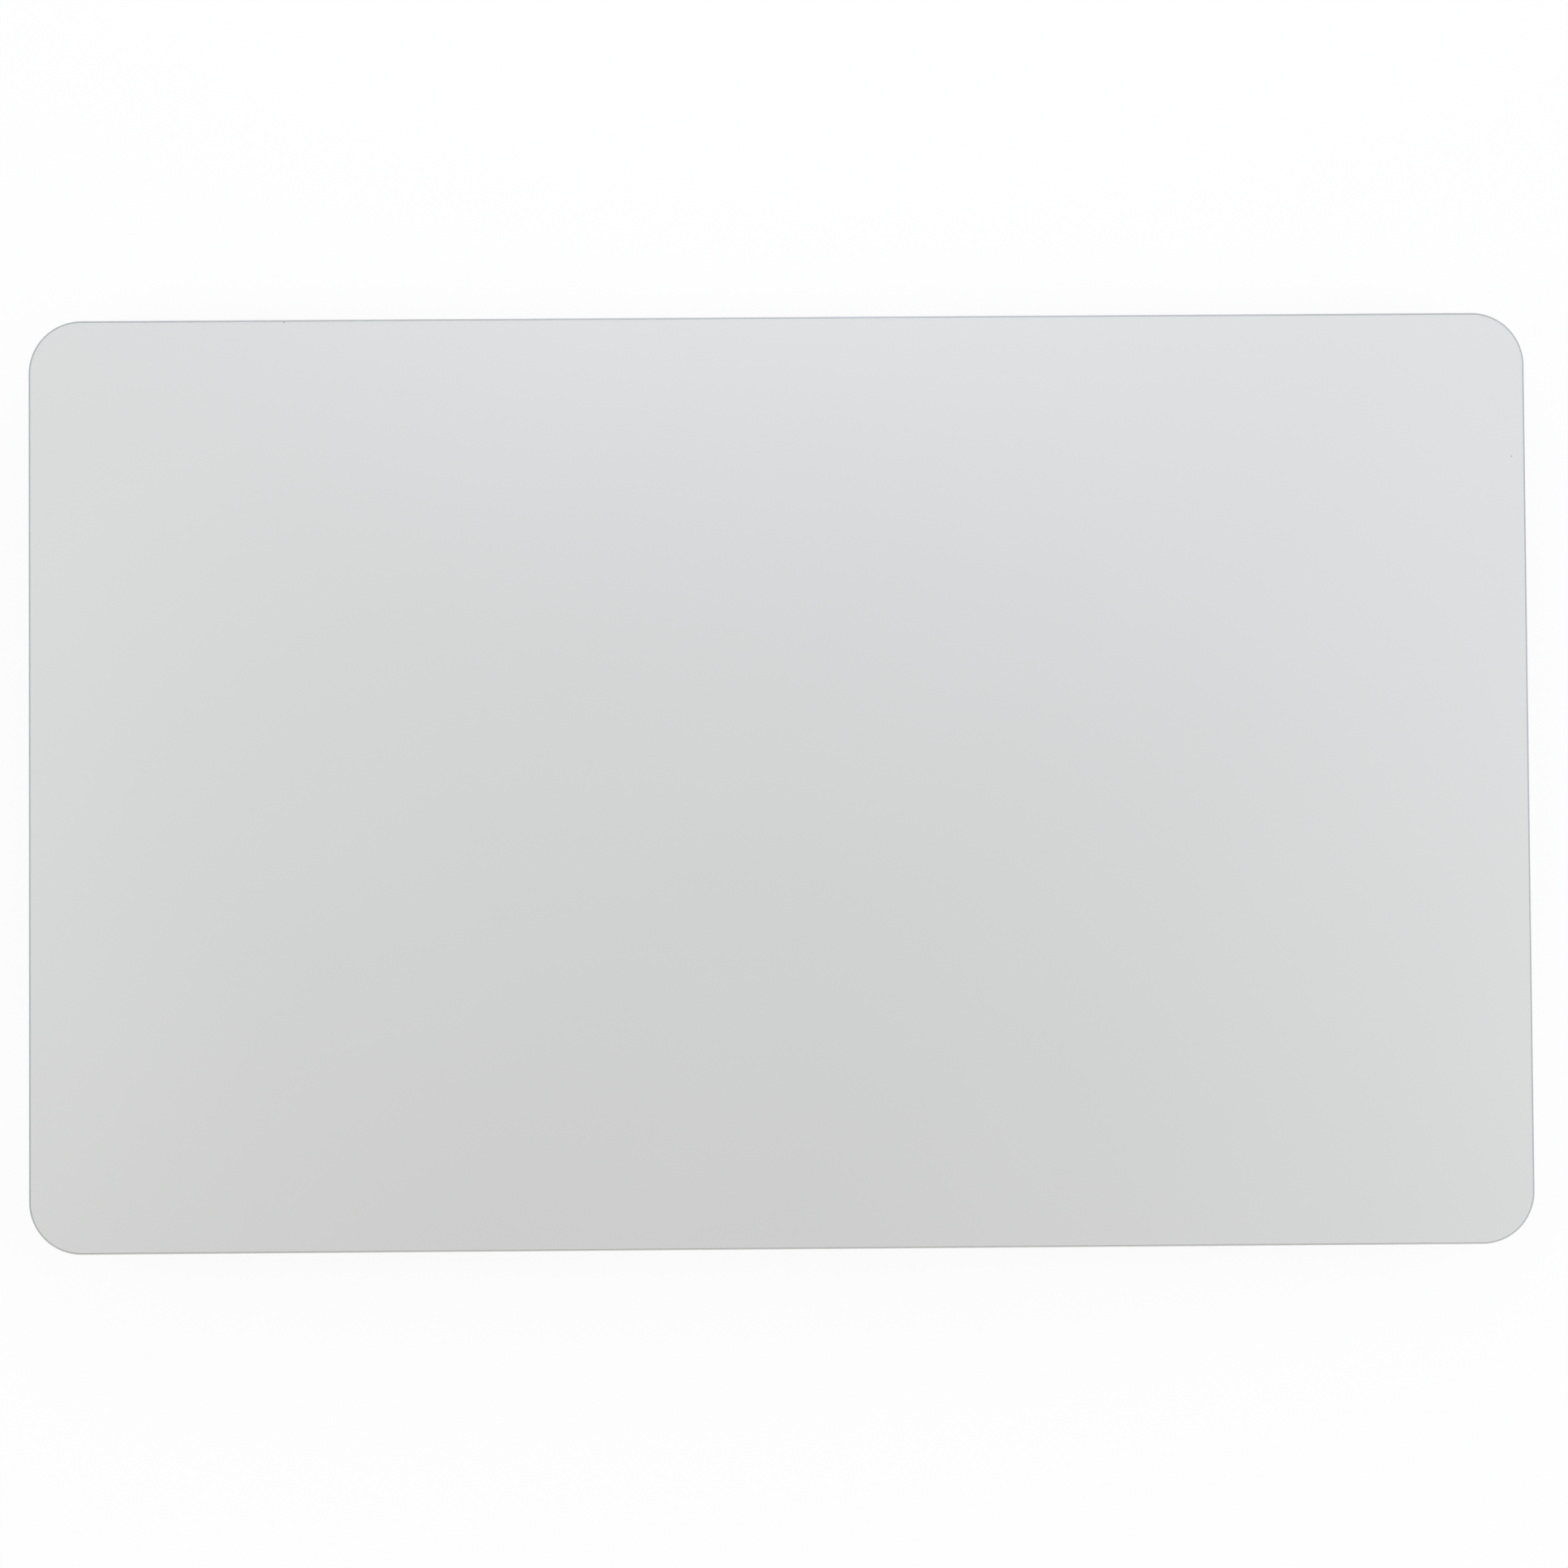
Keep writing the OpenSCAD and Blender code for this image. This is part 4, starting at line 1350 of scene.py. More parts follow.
def can_tree() -> Tree:
    """Builds the tree of a pressed can with a perforated lid, its open side up.

    Returns:
        The tree.
    """
    tree = Tree("perforated_can")
    width, depth, corner = tree.size("Width"), tree.size("Depth"), tree.size("Corner")
    wall, height = tree.size("Wall"), tree.size("Height")
    outer = tree.rounded(width, depth, corner, CAN_STEPS)
    twice = tree.math("MULTIPLY", wall, 2.0)
    inner = tree.rounded(
        tree.math("SUBTRACT", width, twice),
        tree.math("SUBTRACT", depth, twice),
        tree.math("SUBTRACT", corner, wall),
        CAN_STEPS,
    )
    skirt = tree.slab(tree.join(outer, inner), height)
    grid = tree.out(
        "GeometryNodeMeshGrid",
        {
            "Size X": tree.size("Field width"),
            "Size Y": tree.size("Field depth"),
            "Vertices X": tree.size("Columns", "Int"),
            "Vertices Y": tree.size("Rows", "Int"),
        },
    )
    hole = tree.out(
        "GeometryNodeCurvePrimitiveCircle", {"Resolution": HOLE_SIDES, "Radius": tree.size("Hole")}
    )
    holes = tree.out("GeometryNodeInstanceOnPoints", {"Points": grid, "Instance": hole})
    cuts = tree.out("GeometryNodeRealizeInstances", {"Geometry": holes})
    lid = tree.slab(tree.join(outer, cuts), wall)
    rise = tree.out("ShaderNodeCombineXYZ", {"Z": tree.math("SUBTRACT", height, wall)})
    whole = tree.node("GeometryNodeMeshBoolean", operation="UNION", solver="EXACT")
    for shell in (skirt, tree.moved(lid, rise)):
        tree.tree.links.new(shell, whole.inputs["Mesh 2"])
    return tree.close(
        tree.moved(whole.outputs[0], tree.size("Place", "Vector"), (math.pi, 0.0, 0.0))
    )


def winding_tree() -> Tree:
    """Builds the tree of coils wound on flat formers along Y, one at each vertex of a base mesh.

    Returns:
        The tree.
    """
    tree = Tree("wound_coils")
    former = tree.rounded(
        tree.size("Width"), tree.size("Height"), tree.size("Corner"), CORNER_STEPS
    )
    turns, steps = tree.size("Turns", "Int"), tree.size("Steps", "Int")
    count = tree.math("MULTIPLY", turns, steps)
    path = tree.out("GeometryNodeMeshLine", {"Count": tree.math("ADD", count, 1.0)}, mode="OFFSET")
    index = tree.out("GeometryNodeInputIndex")
    share = tree.math("FRACT", tree.math("DIVIDE", index, steps))
    spot = tree.node(
        "GeometryNodeSampleCurve", {"Curves": former, "Factor": share}, mode="FACTOR"
    ).outputs["Position"]
    flat = tree.node("ShaderNodeSeparateXYZ", {0: spot})
    along = tree.math("MULTIPLY", tree.math("DIVIDE", index, count), tree.size("Length"))
    lifted = tree.out(
        "ShaderNodeCombineXYZ",
        {"X": flat.outputs["X"], "Y": along, "Z": flat.outputs["Y"]},
    )
    wound = tree.out("GeometryNodeSetPosition", {"Geometry": path, "Position": lifted})
    return tree.close(
        tree.out(
            "GeometryNodeInstanceOnPoints",
            {"Points": tree.start, "Instance": wire_along(tree, wound)},
        )
    )


def wire_along(tree: Tree, path: Any) -> Socket:
    """Lays a round wire along the edges of a mesh.

    Args:
        tree: The tree, which gets Sides and Wire inputs.
        path: Socket of the mesh.

    Returns:
        The socket of the wire.
    """
    curve = tree.out("GeometryNodeMeshToCurve", {"Mesh": path})
    section = tree.out(
        "GeometryNodeCurvePrimitiveCircle",
        {"Resolution": tree.size("Sides", "Int"), "Radius": tree.size("Wire")},
    )
    ends = {"Curve": curve, "Profile Curve": section, "Fill Caps": True}
    return tree.out("GeometryNodeCurveToMesh", ends)


def lead_tree() -> Tree:
    """Tree of round wires along the edges of a base mesh."""
    tree = Tree("wires_along_paths")
    return tree.close(wire_along(tree, tree.start))


def paths_mesh(paths: Iterable[Sequence[Vector]]) -> bpy.types.Mesh:
    """Mesh of bare edges along several paths, for a tree to start from.

    Args:
        paths: Points of each path. A single point stays a bare vertex.

    Returns:
        The mesh.
    """
    points, edges = [], []
    for path in paths:
        first = len(points)
        points += [tuple(spot) for spot in path]
        edges += [(first + k, first + k + 1) for k in range(len(path) - 1)]
    mesh = bpy.data.meshes.new("paths")
    mesh.from_pydata(points, edges, [])
    return mesh


def marks_mesh(points: Iterable[Vector]) -> bpy.types.Mesh:
    """Mesh of bare vertices for a tree to set copies at."""
    return paths_mesh([spot] for spot in points)


class Workshop:
    """The trees that the assemblies grow their pieces with."""

    def __init__(self) -> None:
        """Builds each tree once."""
        self.plate = plate_tree()
        self.copies = copies_tree()
        self.border = border_tree()
        self.can = can_tree()
        self.winding = winding_tree()
        self.leads = lead_tree()

    def copies_of(
        self, name: str, part: Shape, finish: Slot | Extra, points: Iterable[Vector],
        spin: float = 0.0, seed: int = 1, below: float = SMOOTH_BELOW,
    ) -> Piece:
        """Sets a part at several places.

        Args:
            name: Name of the piece.
            part: The part about its own origin, which is used up.
            finish: Its finish.
            points: Where the copies go.
            spin: The most that chance turns a copy about its axis.
            seed: Seed of the turns.
            below: Angle in degrees below which neighbouring faces are smoothed.

        Returns:
            The new object.
        """
        master = piece_of(f"{name}_master", part, finish)
        sizes = {"Part": master, "Spin": spin, "Seed": seed}
        made = self.copies.grow(name, finish, sizes, marks_mesh(points), below)
        bpy.data.objects.remove(master)
        return made

    def stand(
        self, name: str, node: str, part: Shape, slot: Slot, body: Body, **turns: Any
    ) -> None:
        """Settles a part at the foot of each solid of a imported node, in the node's place.

        Args:
            name: Name of the piece.
            node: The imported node.
            part: The part about its own origin, which is used up.
            slot: Its finish.
            body: The body that it moves with.
            turns: The spin, seed and smoothing of copies_of.
        """
        feet = [box.foot for box in solids_of(node)]
        settle(self.copies_of(name, part, slot, feet, **turns), slot, body, node)


@dataclass(frozen=True)
class Lamp:
    """A soft square lamp that points at the pad: bearing and lengths in degrees and metres."""

    name: str
    bearing: float
    distance: float
    height: float
    size: float
    power: float
    colour: Colour

    def build(self) -> None:
        """Adds the lamp to the scene."""
        light = bpy.data.lights.new(self.name, "AREA")
        light.shape = "SQUARE"
        light.size = self.size
        light.energy = self.power
        light.color = self.colour
        made = put(self.name, light)
        angle = math.radians(self.bearing)
        spot = Vector(
            (self.distance * math.cos(angle), self.distance * math.sin(angle), self.height)
        )
        aim = Vector((0.0, 0.0, CAD_BOX[1].z)) - spot
        made.location = spot
        made.rotation_euler = aim.to_track_quat("-Z", "Y").to_euler()
        made.visible_camera = False
        made.visible_glossy = False


@dataclass
class Studio:
    """White floor, soft lamps and the photograph's camera."""

    floor_radius: float = 3.0
    floor_steps: int = 96
    floor_drop: float = 0.02 * MM
    white_share: float = 0.92
    shadow_inset: float = 12.0 * MM
    shadow_reach: float = 80.0 * MM
    world_level: float = 0.25
    focal_px: float = 2600.0
    sensor: float = 36.0
    tilt: Triple = (1.028, -0.237, 0.394)
    stand_off: Triple = (-0.35, 0.23, 188.47)
    outline_drop: float = 0.15 * MM
    clip: Pair = (0.005, 20.0)
    floor_tone: Colour = (0.86, 0.86, 0.86)
    white: Colour = (1.0, 1.0, 1.0)
    lamps: tuple[Lamp, ...] = (
        Lamp("back_lamp", 90.0, 0.14, 0.06, 0.12, 0.16, (0.88, 0.915, 1.0)),
        Lamp("left_lamp", 182.0, 0.17, 0.09, 0.14, 0.16, (0.95, 0.99, 1.0)),
        Lamp("right_lamp", 355.0, 0.2, 0.12, 0.16, 0.335, (0.92, 0.955, 1.0)),
        Lamp("front_lamp", 270.0, 0.22, 0.02, 0.034, 0.33, (1.0, 0.945, 0.84)),
    )

    def build(self) -> None:
        """Sets up the whole studio."""
        self.floor()
        self.world()
        for lamp in self.lamps:
            lamp.build()
        self.camera()
        bpy.context.scene.view_settings.view_transform = "Standard"

    def seen_share(self, graph: Graph) -> Any:
        """Tells the rays that show the background, straight or in gloss and glass.

        Args:
            graph: Nodes of the floor or the sky.

        Returns:
            One for those rays and none for others.
        """
        path = graph.node("ShaderNodeLightPath").outputs
        seen = graph.math("MAXIMUM", path["Is Camera Ray"], path["Is Glossy Ray"])
        return graph.math("MAXIMUM", seen, path["Is Transmission Ray"])

    def outside(self, graph: Graph) -> Any:
        """Measures the floor from the middle field under the pad.

        Args:
            graph: Nodes of the floor.

        Returns:
            The distance of each point.
        """
        place = graph.node("ShaderNodeTexCoord").outputs["Object"]
        half = (CAD_BOX[1] - CAD_BOX[0]) / 2.0
        field = (half.x - self.shadow_inset, half.y - self.shadow_inset, self.floor_radius)
        over = graph.vector("SUBTRACT", graph.vector("ABSOLUTE", place)[0], field)[0]
        return graph.vector("LENGTH", graph.vector("MAXIMUM", over)[0])["Value"]

    def floor(self) -> None:
        """Adds the floor, which stays white round the pad but keeps its shadow."""
        shape = bmesh.new()
        level = CAD_BOX[0].z - self.floor_drop
        bmesh.ops.create_circle(
            shape, cap_ends=True, radius=self.floor_radius, segments=self.floor_steps,
            matrix=Matrix.Translation((0.0, 0.0, level)),
        )
        mesh = bpy.data.meshes.new("floor")
        shape.to_mesh(mesh)
        shape.free()
        made = put("floor", mesh)
        paint = bpy.data.materials.new("floor_white")
        graph = emptied(paint)
        away = self.outside(graph)
        edge, far = self.shadow_inset, self.shadow_reach
        share = graph.math(
            "ADD",
            graph.scaled(away, 0.0, edge, 0.0, self.white_share),
            graph.scaled(away, edge, far, 0.0, 1.0 - self.white_share),
        )
        matt = graph.out("ShaderNodeBsdfDiffuse", {"Color": four(self.floor_tone)})
        white = graph.out("ShaderNodeEmission", {"Color": four(self.white), "Strength": 1.0})
        seen = graph.math("MULTIPLY", share, self.seen_share(graph))
        both = graph.out("ShaderNodeMixShader", {0: seen, 1: matt, 2: white})
        graph.node("ShaderNodeOutputMaterial", {"Surface": both})
        mesh.materials.append(paint)

    def world(self) -> None:
        """Sets a plain sky that is white to look at and softer as a light."""
        sky = bpy.data.worlds.new("studio_sky")
        graph = emptied(sky)
        level = graph.scaled(self.seen_share(graph), 0.0, 1.0, self.world_level, 1.0)
        light = graph.out("ShaderNodeBackground", {"Color": four(self.white), "Strength": level})
        graph.node("ShaderNodeOutputWorld", {"Surface": light})
        bpy.context.scene.world = sky

    def camera(self) -> None:
        """Adds the camera where the photograph was taken from."""
        pitch, yaw, roll = (math.radians(angle) for angle in self.tilt)
        swung = Matrix.Rotation(roll, 3, "Z") @ Matrix.Rotation(yaw, 3, "Y")
        tipped = swung @ Matrix.Rotation(pitch, 3, "X")
        right = Vector((tipped[0][0], tipped[1][0], -tipped[2][0]))
        up = Vector((tipped[0][1], tipped[1][1], -tipped[2][1]))
        rows = Matrix((right, up, right.cross(up)))
        x, y, z = self.stand_off
        spot = rows @ Vector((-x * MM, -y * MM, z * MM))
        data = bpy.data.cameras.new("photo_camera")
        data.sensor_width = self.sensor
        data.lens = self.focal_px * self.sensor / PHOTO_SIDE
        data.clip_start, data.clip_end = self.clip
        made = put("photo_camera", data)
        plane = Vector((0.0, 0.0, CAD_BOX[1].z - self.outline_drop))
        made.matrix_world = Matrix.Translation(spot + plane) @ rows.to_4x4()
        bpy.context.scene.camera = made


@dataclass
class TouchPlate:
    """Cover glass, its bonding sheet, the touch board and the film on its back."""

    shop: Workshop
    glass_corner: float = 4.7 * MM
    glass_rim: float = 0.2 * MM
    glass_back_rim: float = 0.12 * MM
    rim_steps: int = 6
    rim_support: float = 0.2 * MM
    corner_steps: int = 24
    bond_corner: float = 4.0 * MM
    board_corner: float = 3.5 * MM
    border: float = 0.7 * MM
    border_spacing: float = 2.4 * MM
    border_pad: float = 0.28 * MM
    copper: float = 0.02 * MM
    film_corner: float = 2.0 * MM
    window: float = 3.5 * MM
    film_edge: float = 0.03 * MM
    test_pad: float = 0.5 * MM
    test_ring: float = 2.0 * MM
    test_count: int = 5
    flat_below: float = 0.5
    level_from: float = 0.9999
    upright_below: float = 0.5

    def build(self) -> None:
        """Builds and dresses every piece of the plate."""
        self.glass()
        bond = self.plain("clear_bond_sheet", "bond_sheet", Slot.BOND, self.bond_corner)
        shade(bond)
        settle(bond, Slot.BOND, Body.PLATE, "bond_sheet")
        self.board()
        self.film()

    def plain(self, name: str, node: str, slot: Slot, corner: float) -> Piece:
        """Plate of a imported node's size, with sharp rims.

        Args:
            name: Name of the piece.
            node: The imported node.
            slot: Its finish.
            corner: Radius of its corners.

        Returns:
            The new object.
        """
        box = Box.of(node)
        sizes = {
            "Width": box.size.x,
            "Depth": box.size.y,
            "Corner": corner,
            "Steps": self.corner_steps,
            "Thickness": box.size.z,
            "Place": (box.centre.x, box.centre.y, box.low.z),
        }
        return self.shop.plate.grow(name, slot, sizes, below=None)

    def glass(self) -> None:
        """Builds the cover glass with its rounded rims, whose darker finish is partly the ground
        edge and partly painted shade.
        """
        piece = self.plain("satin_cover_glass", "cover_glass", Slot.GLASS, self.glass_corner)
        box = Box.of("cover_glass")
        shape = bmesh.new()
        shape.from_mesh(piece.data)
        flattened(shape, self.flat_below)
        for level, radius in ((box.high.z, self.glass_rim), (box.low.z, self.glass_back_rim)):
            rim = []
            for link in shape.edges:
                tips = [face.normal.z for face in link.link_faces]
                there = all(abs(v.co.z - level) < WELD for v in link.verts)
                if there and max(tips) - min(tips) > self.upright_below:
                    rim.append(link)
            round_edges(shape, rim, radius, self.rim_steps)
        shape.normal_update()
        flats = [face for face in shape.faces if abs(face.normal.z) > self.level_from]
        bmesh.ops.inset_region(shape, faces=flats, thickness=self.rim_support, use_even_offset=True)
        shape.normal_update()
        for face in shape.faces:
            # Rim faces take the rim finish, whose darker tone is partly painted shade.
            face.material_index = 0 if face.normal.z > self.level_from else 1
        shape.to_mesh(piece.data)
        shape.free()
        piece.data.materials.append(PALETTE.of(Extra.RIM))
        shade(piece)
        settle(piece, Slot.GLASS, Body.PLATE, "cover_glass")

    def board(self) -> None:
        """Builds the touch board with its bare edge and the ground pads along its border."""
        piece = self.plain("touch_board_panel", "touch_board", Slot.BOARD, self.board_corner)
        piece.data.materials.append(PALETTE.of(Extra.LAMINATE))
        for face in piece.data.polygons:
            face.material_index = 0 if abs(face.normal.z) > self.upright_below else 1
        shade(piece)
        settle(piece, Slot.BOARD, Body.PLATE, "touch_board")
        box = Box.of("touch_board")
        sizes = {
            "Width": box.size.x - 2.0 * self.border,
            "Depth": box.size.y - 2.0 * self.border,
            "Corner": self.board_corner - self.border,
            "Spacing": self.border_spacing,
            "Radius": self.border_pad,
            "Thickness": self.copper,
            "Place": (0.0, 0.0, box.low.z),
        }
        pads = self.shop.border.grow("ground_pads", Slot.CONTACT, sizes)
        settle(pads, Slot.CONTACT, Body.PLATE)

    def film(self) -> None:
        """Builds the insulating film with its two windows."""
        box = Box.of("insulator_film")
        middles = [
            box.centre + Vector((side.value * box.size.x / 4.0, 0.0, 0.0)) for side in Side
        ]
        windows = tuple(Outline.circle(middle, self.window) for middle in middles)
        shape = bmesh.new()
        Stamping(
            Outline.rounded(box, self.film_corner), box.low.z, box.high.z, self.film_edge, windows
        ).build(shape)
        piece = piece_of("insulating_film", shape, Slot.FILM)
        settle(piece, Slot.FILM, Body.PLATE, "insulator_film")
        level = Box.of("touch_board").low.z - self.copper / 2.0
        spots = [
            Vector((x, y, level))
            for middle in middles
            for x, y in Outline.circle(middle, self.test_ring, self.test_count).points
        ]
        pad = disc(self.test_pad, self.copper)
        pads = self.shop.copies_of("test_pads", pad, Slot.CONTACT, spots)
        settle(pads, Slot.CONTACT, Body.PLATE)


@dataclass
class BoardElectronics:
    """Shield can, chips, inductor and small parts under the touch board."""

    shop: Workshop
    can_corner: float = 0.6 * MM
    can_wall: float = 0.15 * MM
    can_hole: float = 0.36 * MM
    can_columns: int = 9
    can_rows: int = 6
    can_margin: float = 1.5 * MM
    can_bend: float = 0.14 * MM
    can_fold: float = 60.0
    can_bend_steps: int = 3
    chip_edge: float = 0.05 * MM
    chip_corner: float = 0.12 * MM
    chip_steps: int = 3
    dot: float = 0.35 * MM
    dot_sides: int = 20
    dot_inset: float = 0.9 * MM
    dot_depth: float = 0.05 * MM
    pad: float = 0.13 * MM
    pad_height: float = 0.2 * MM
    pad_pitch: float = 0.5 * MM
    pad_margin: float = 1.0 * MM
    drum_share: float = 0.37
    drum_gap: float = 0.14 * MM
    drum_depth: float = 0.24 * MM
    drum_sides: int = 40
    inductor_corner: float = 0.55 * MM
    end_share: float = 0.27
    end_lap: float = 0.012 * MM
    small_edge: float = 0.035 * MM

    def build(self) -> None:
        """Builds and dresses every part on the board."""
        self.can()
        chips = ("touch_controller", "microcontroller", "haptic_driver", "force_amplifier")
        for node in chips:
            self.chip(node)
        self.chip_pads(chips)
        self.inductor()
        self.small_parts("chip_capacitors", Slot.CERAMIC, axis=1)
        self.small_parts("chip_resistors", Slot.RESISTOR, axis=1)
        self.small_parts("bulk_capacitors", Slot.CERAMIC, axis=0)

    def can(self) -> None:
        """Builds the shield can with its perforated lid."""
        box = Box.of("shield_can")
        sizes = {
            "Width": box.size.x,
            "Depth": box.size.y,
            "Corner": self.can_corner,
            "Wall": self.can_wall,
            "Height": box.size.z,
            "Field width": box.size.x - 2.0 * self.can_margin,
            "Field depth": box.size.y - 2.0 * self.can_margin,
            "Columns": self.can_columns,
            "Rows": self.can_rows,
            "Hole": self.can_hole,
            "Place": (box.centre.x, box.centre.y, box.high.z),
        }
        piece = self.shop.can.grow("perforated_shield_can", Slot.CAN, sizes, below=None)
        shape = bmesh.new()
        shape.from_mesh(piece.data)
        bmesh.ops.remove_doubles(shape, verts=shape.verts, dist=WELD)
        shape.normal_update()
        half = box.size / 2.0 - Vector((self.can_wall, self.can_wall, 0.0))
        bend_line = []
        for link in shape.edges:
            middle = (link.verts[0].co + link.verts[1].co) / 2.0 - box.centre
            outside = abs(middle.x) > half.x or abs(middle.y) > half.y
            low = all(abs(v.co.z - box.low.z) < WELD for v in link.verts)
            if outside and low and link.calc_face_angle(0.0) > math.radians(self.can_fold):
                bend_line.append(link)
        round_edges(shape, bend_line, self.can_bend, self.can_bend_steps)
        shape.to_mesh(piece.data)
        shape.free()
        shade(piece)
        settle(piece, Slot.CAN, Body.PLATE, "shield_can")

    def chip(self, node: str) -> None:
        """Builds a moulded chip with a dimple at its first corner.

        Args:
            node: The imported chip.
        """
        box = Box.of(node)
        spot = Vector((box.low.x + self.dot_inset, box.high.y - self.dot_inset, 0.0))
        outer = Outline.rounded(box, self.chip_corner, self.chip_steps)
        dimple = (Outline.circle(spot, self.dot, self.dot_sides), self.dot_depth)
        shape = bmesh.new()
        Stamping(outer, box.low.z, box.high.z, self.chip_edge, pockets=(dimple,)).build(shape)
        settle(piece_of(f"{node}_moulding", shape, Slot.CHIP), Slot.CHIP, Body.PLATE, node)

    def chip_pads(self, nodes: Sequence[str]) -> None:
        """Builds the soldered pads round the chips.

        Args:
            nodes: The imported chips.
        """
        places = []
        for node in nodes:
            box = Box.of(node)
            half = box.size / 2.0
            count = int((box.size.x - self.pad_margin) / self.pad_pitch)
            for k in range(count):
                along = (k - (count - 1) / 2.0) * self.pad_pitch
                for x, y in ((along, half.y), (along, -half.y), (half.x, along), (-half.x, along)):
                    level = box.high.z - self.pad_height / 2.0 - box.centre.z
                    places.append(box.centre + Vector((x, y, level)))
        reach = Vector((self.pad, self.pad, self.pad_height / 2.0))
        shape = bmesh.new()
        block(shape, -reach, reach, self.small_edge, 1)
        pads = self.shop.copies_of("chip_pads", shape, Extra.SOLDER, places)
        settle(pads, Slot.CONTACT, Body.PLATE)

    def inductor(self) -> None:
        """Builds the inductor: a ferrite frame round a drum, on two soldered ends."""
        box = Box.of("boost_inductor")
        drum = box.size.x * self.drum_share
        edge = 2.0 * self.chip_edge
        shape = bmesh.new()
        well = Outline.circle(box.centre, drum + self.drum_gap, self.drum_sides)
        Stamping(
            Outline.rounded(box, self.inductor_corner), box.low.z, box.high.z, edge,
            pockets=((well, self.drum_depth),),
        ).build(shape)
        deep = self.drum_depth + self.small_edge
        rings = [
            Ring(0.0, 0.0), Ring(drum - edge, 0.0), Ring(drum, edge), Ring(drum, deep),
            Ring(0.0, deep),
        ]
        turn(shape, rings, box.foot, self.drum_sides)
        piece = piece_of("inductor_ferrite", shape, Slot.FERRITE)
        settle(piece, Slot.FERRITE, Body.PLATE, "boost_inductor")
        ends = bmesh.new()
        wide = box.size.y * self.end_share
        for side in Side:
            face = box.centre.x + side.value * box.size.x / 2.0
            inner = face - side.value * wide / 2.0
            outer = face + side.value * 2.0 * self.end_lap
            under = box.high.z - 2.0 * self.pad_height
            low = Vector((min(inner, outer), box.centre.y - wide, under))
            high = Vector((max(inner, outer), box.centre.y + wide, box.high.z))
            block(ends, low, high, self.small_edge)
        piece = piece_of("inductor_ends", ends, Extra.SOLDER)
        settle(piece, Slot.CONTACT, Body.PLATE)

    def small_parts(self, node: str, slot: Slot, axis: int) -> None:
        """Builds a row of small parts with soldered ends.

        Args:
            node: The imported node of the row.
            slot: Finish of the bodies.
            axis: Axis that each part lies along, 0 for X and 1 for Y.
        """
        places = solids_of(node)
        half = places[0].size / 2.0
        spots = [box.centre for box in places]
        lap = Vector((self.end_lap, self.end_lap, self.end_lap))
        body = bmesh.new()
        block(body, -half + lap, half - lap, self.small_edge, 1)
        bodies = self.shop.copies_of(f"{node}_bodies", body, slot, spots)
        settle(bodies, slot, Body.PLATE, node)
        ends = bmesh.new()
        bare = Vector()
        bare[axis] = 2.0 * half[axis] * (1.0 - self.end_share)
        block(ends, -half, half - bare, self.small_edge, 1)
        block(ends, bare - half, half, self.small_edge, 1)
        caps = self.shop.copies_of(f"{node}_ends", ends, Extra.SOLDER, spots)
        settle(caps, Slot.CONTACT, Body.PLATE)


@dataclass
class FlipSocket:
    """A flat-cable socket with its contacts and its flip latch."""

    shop: Workshop
    name: str
    flap: Body
    edge: float = 0.05 * MM
    contact_edge: float = 0.03 * MM
    finger_back: float = 1.95 * MM
    finger_front: float = 0.25 * MM
    finger_low: float = 0.12 * MM
    finger_thick: float = 0.07 * MM
    finger_round: float = 1.0 / 3.0

    def build(self) -> None:
        """Builds and dresses the housing, the contacts and the latch."""
        name, edge = self.name, self.edge
        soften(f"{name}_socket", f"{name}_housing", Slot.SOCKET, Body.PLATE, edge)
        self.contacts()
        soften(f"{name}_latch", f"{name}_flip_bar", Slot.LATCH, self.flap, edge)

    def contacts(self) -> None:
        """Builds the row of contacts, each with its tail and its finger in the mouth."""
        node = f"{self.name}_contacts"
        places = solids_of(node)
        half = places[0].size / 2.0
        mouth = Box.of(f"{self.name}_socket").high.y - places[0].centre.y
        shape = bmesh.new()
        block(shape, -half, half, self.contact_edge)
        top = -half.z - self.finger_low
        low = Vector((-half.x, mouth - self.finger_back, top - self.finger_thick))
        high = Vector((half.x, mouth - self.finger_front, top))
        block(shape, low, high, self.finger_thick * self.finger_round, 1)
        spots = [box.centre for box in places]
        row = self.shop.copies_of(f"{self.name}_springs", shape, Slot.CONTACT, spots)
        settle(row, Slot.CONTACT, Body.PLATE, node)


@dataclass(frozen=True)
class Screw:
    """A small screw with a lobed drive, its head at the bottom and its plain shank upwards."""

    head: float = 1.1 * MM
    shank: float = 0.6 * MM
    head_height: float = 0.4 * MM
    sunk: bool = True
    drive: float = 0.5 * MM
    drive_lobe: float = 0.09 * MM
    drive_depth: float = 0.28 * MM
    drive_taper: float = 0.86
    drive_point: float = 1.12
    edge: float = 0.05 * MM
    sides: int = 36

    def part(self, length: float) -> Shape:
        """Turns one screw.

        Args:
            length: Its length over all.

        Returns:
            The geometry.
        """
        floor, mouth = self.drive * self.drive_taper, self.drive
        rings = [
            Ring(0.0, self.drive_depth * self.drive_point),
            Ring(floor, self.drive_depth, self.drive_lobe),
            Ring(mouth, self.edge / 2.0, self.drive_lobe),
            Ring(mouth + self.edge / 2.0, 0.0, self.drive_lobe),
            Ring(self.head - self.edge, 0.0),
            Ring(self.head, self.edge),
        ]
        if not self.sunk:
            rings.append(Ring(self.head, self.head_height))
        rings += [
            Ring(self.shank, self.head_height), Ring(self.shank, length), Ring(0.0, length)
        ]
        return turn(bmesh.new(), rings, segments=self.sides)

    def set_in(self, shop: Workshop, node: str, name: str, body: Body, seed: int) -> None:
        """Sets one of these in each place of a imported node.

        Args:
            shop: The shared trees.
            node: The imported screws.
            name: Name of the piece.
            body: The body that they move with.
            seed: Seed of the turns of the drives.
        """
        part = self.part(solids_of(node)[0].size.z)
        shop.stand(name, node, part, Slot.SCREW, body, spin=math.tau / LOBES, seed=seed)


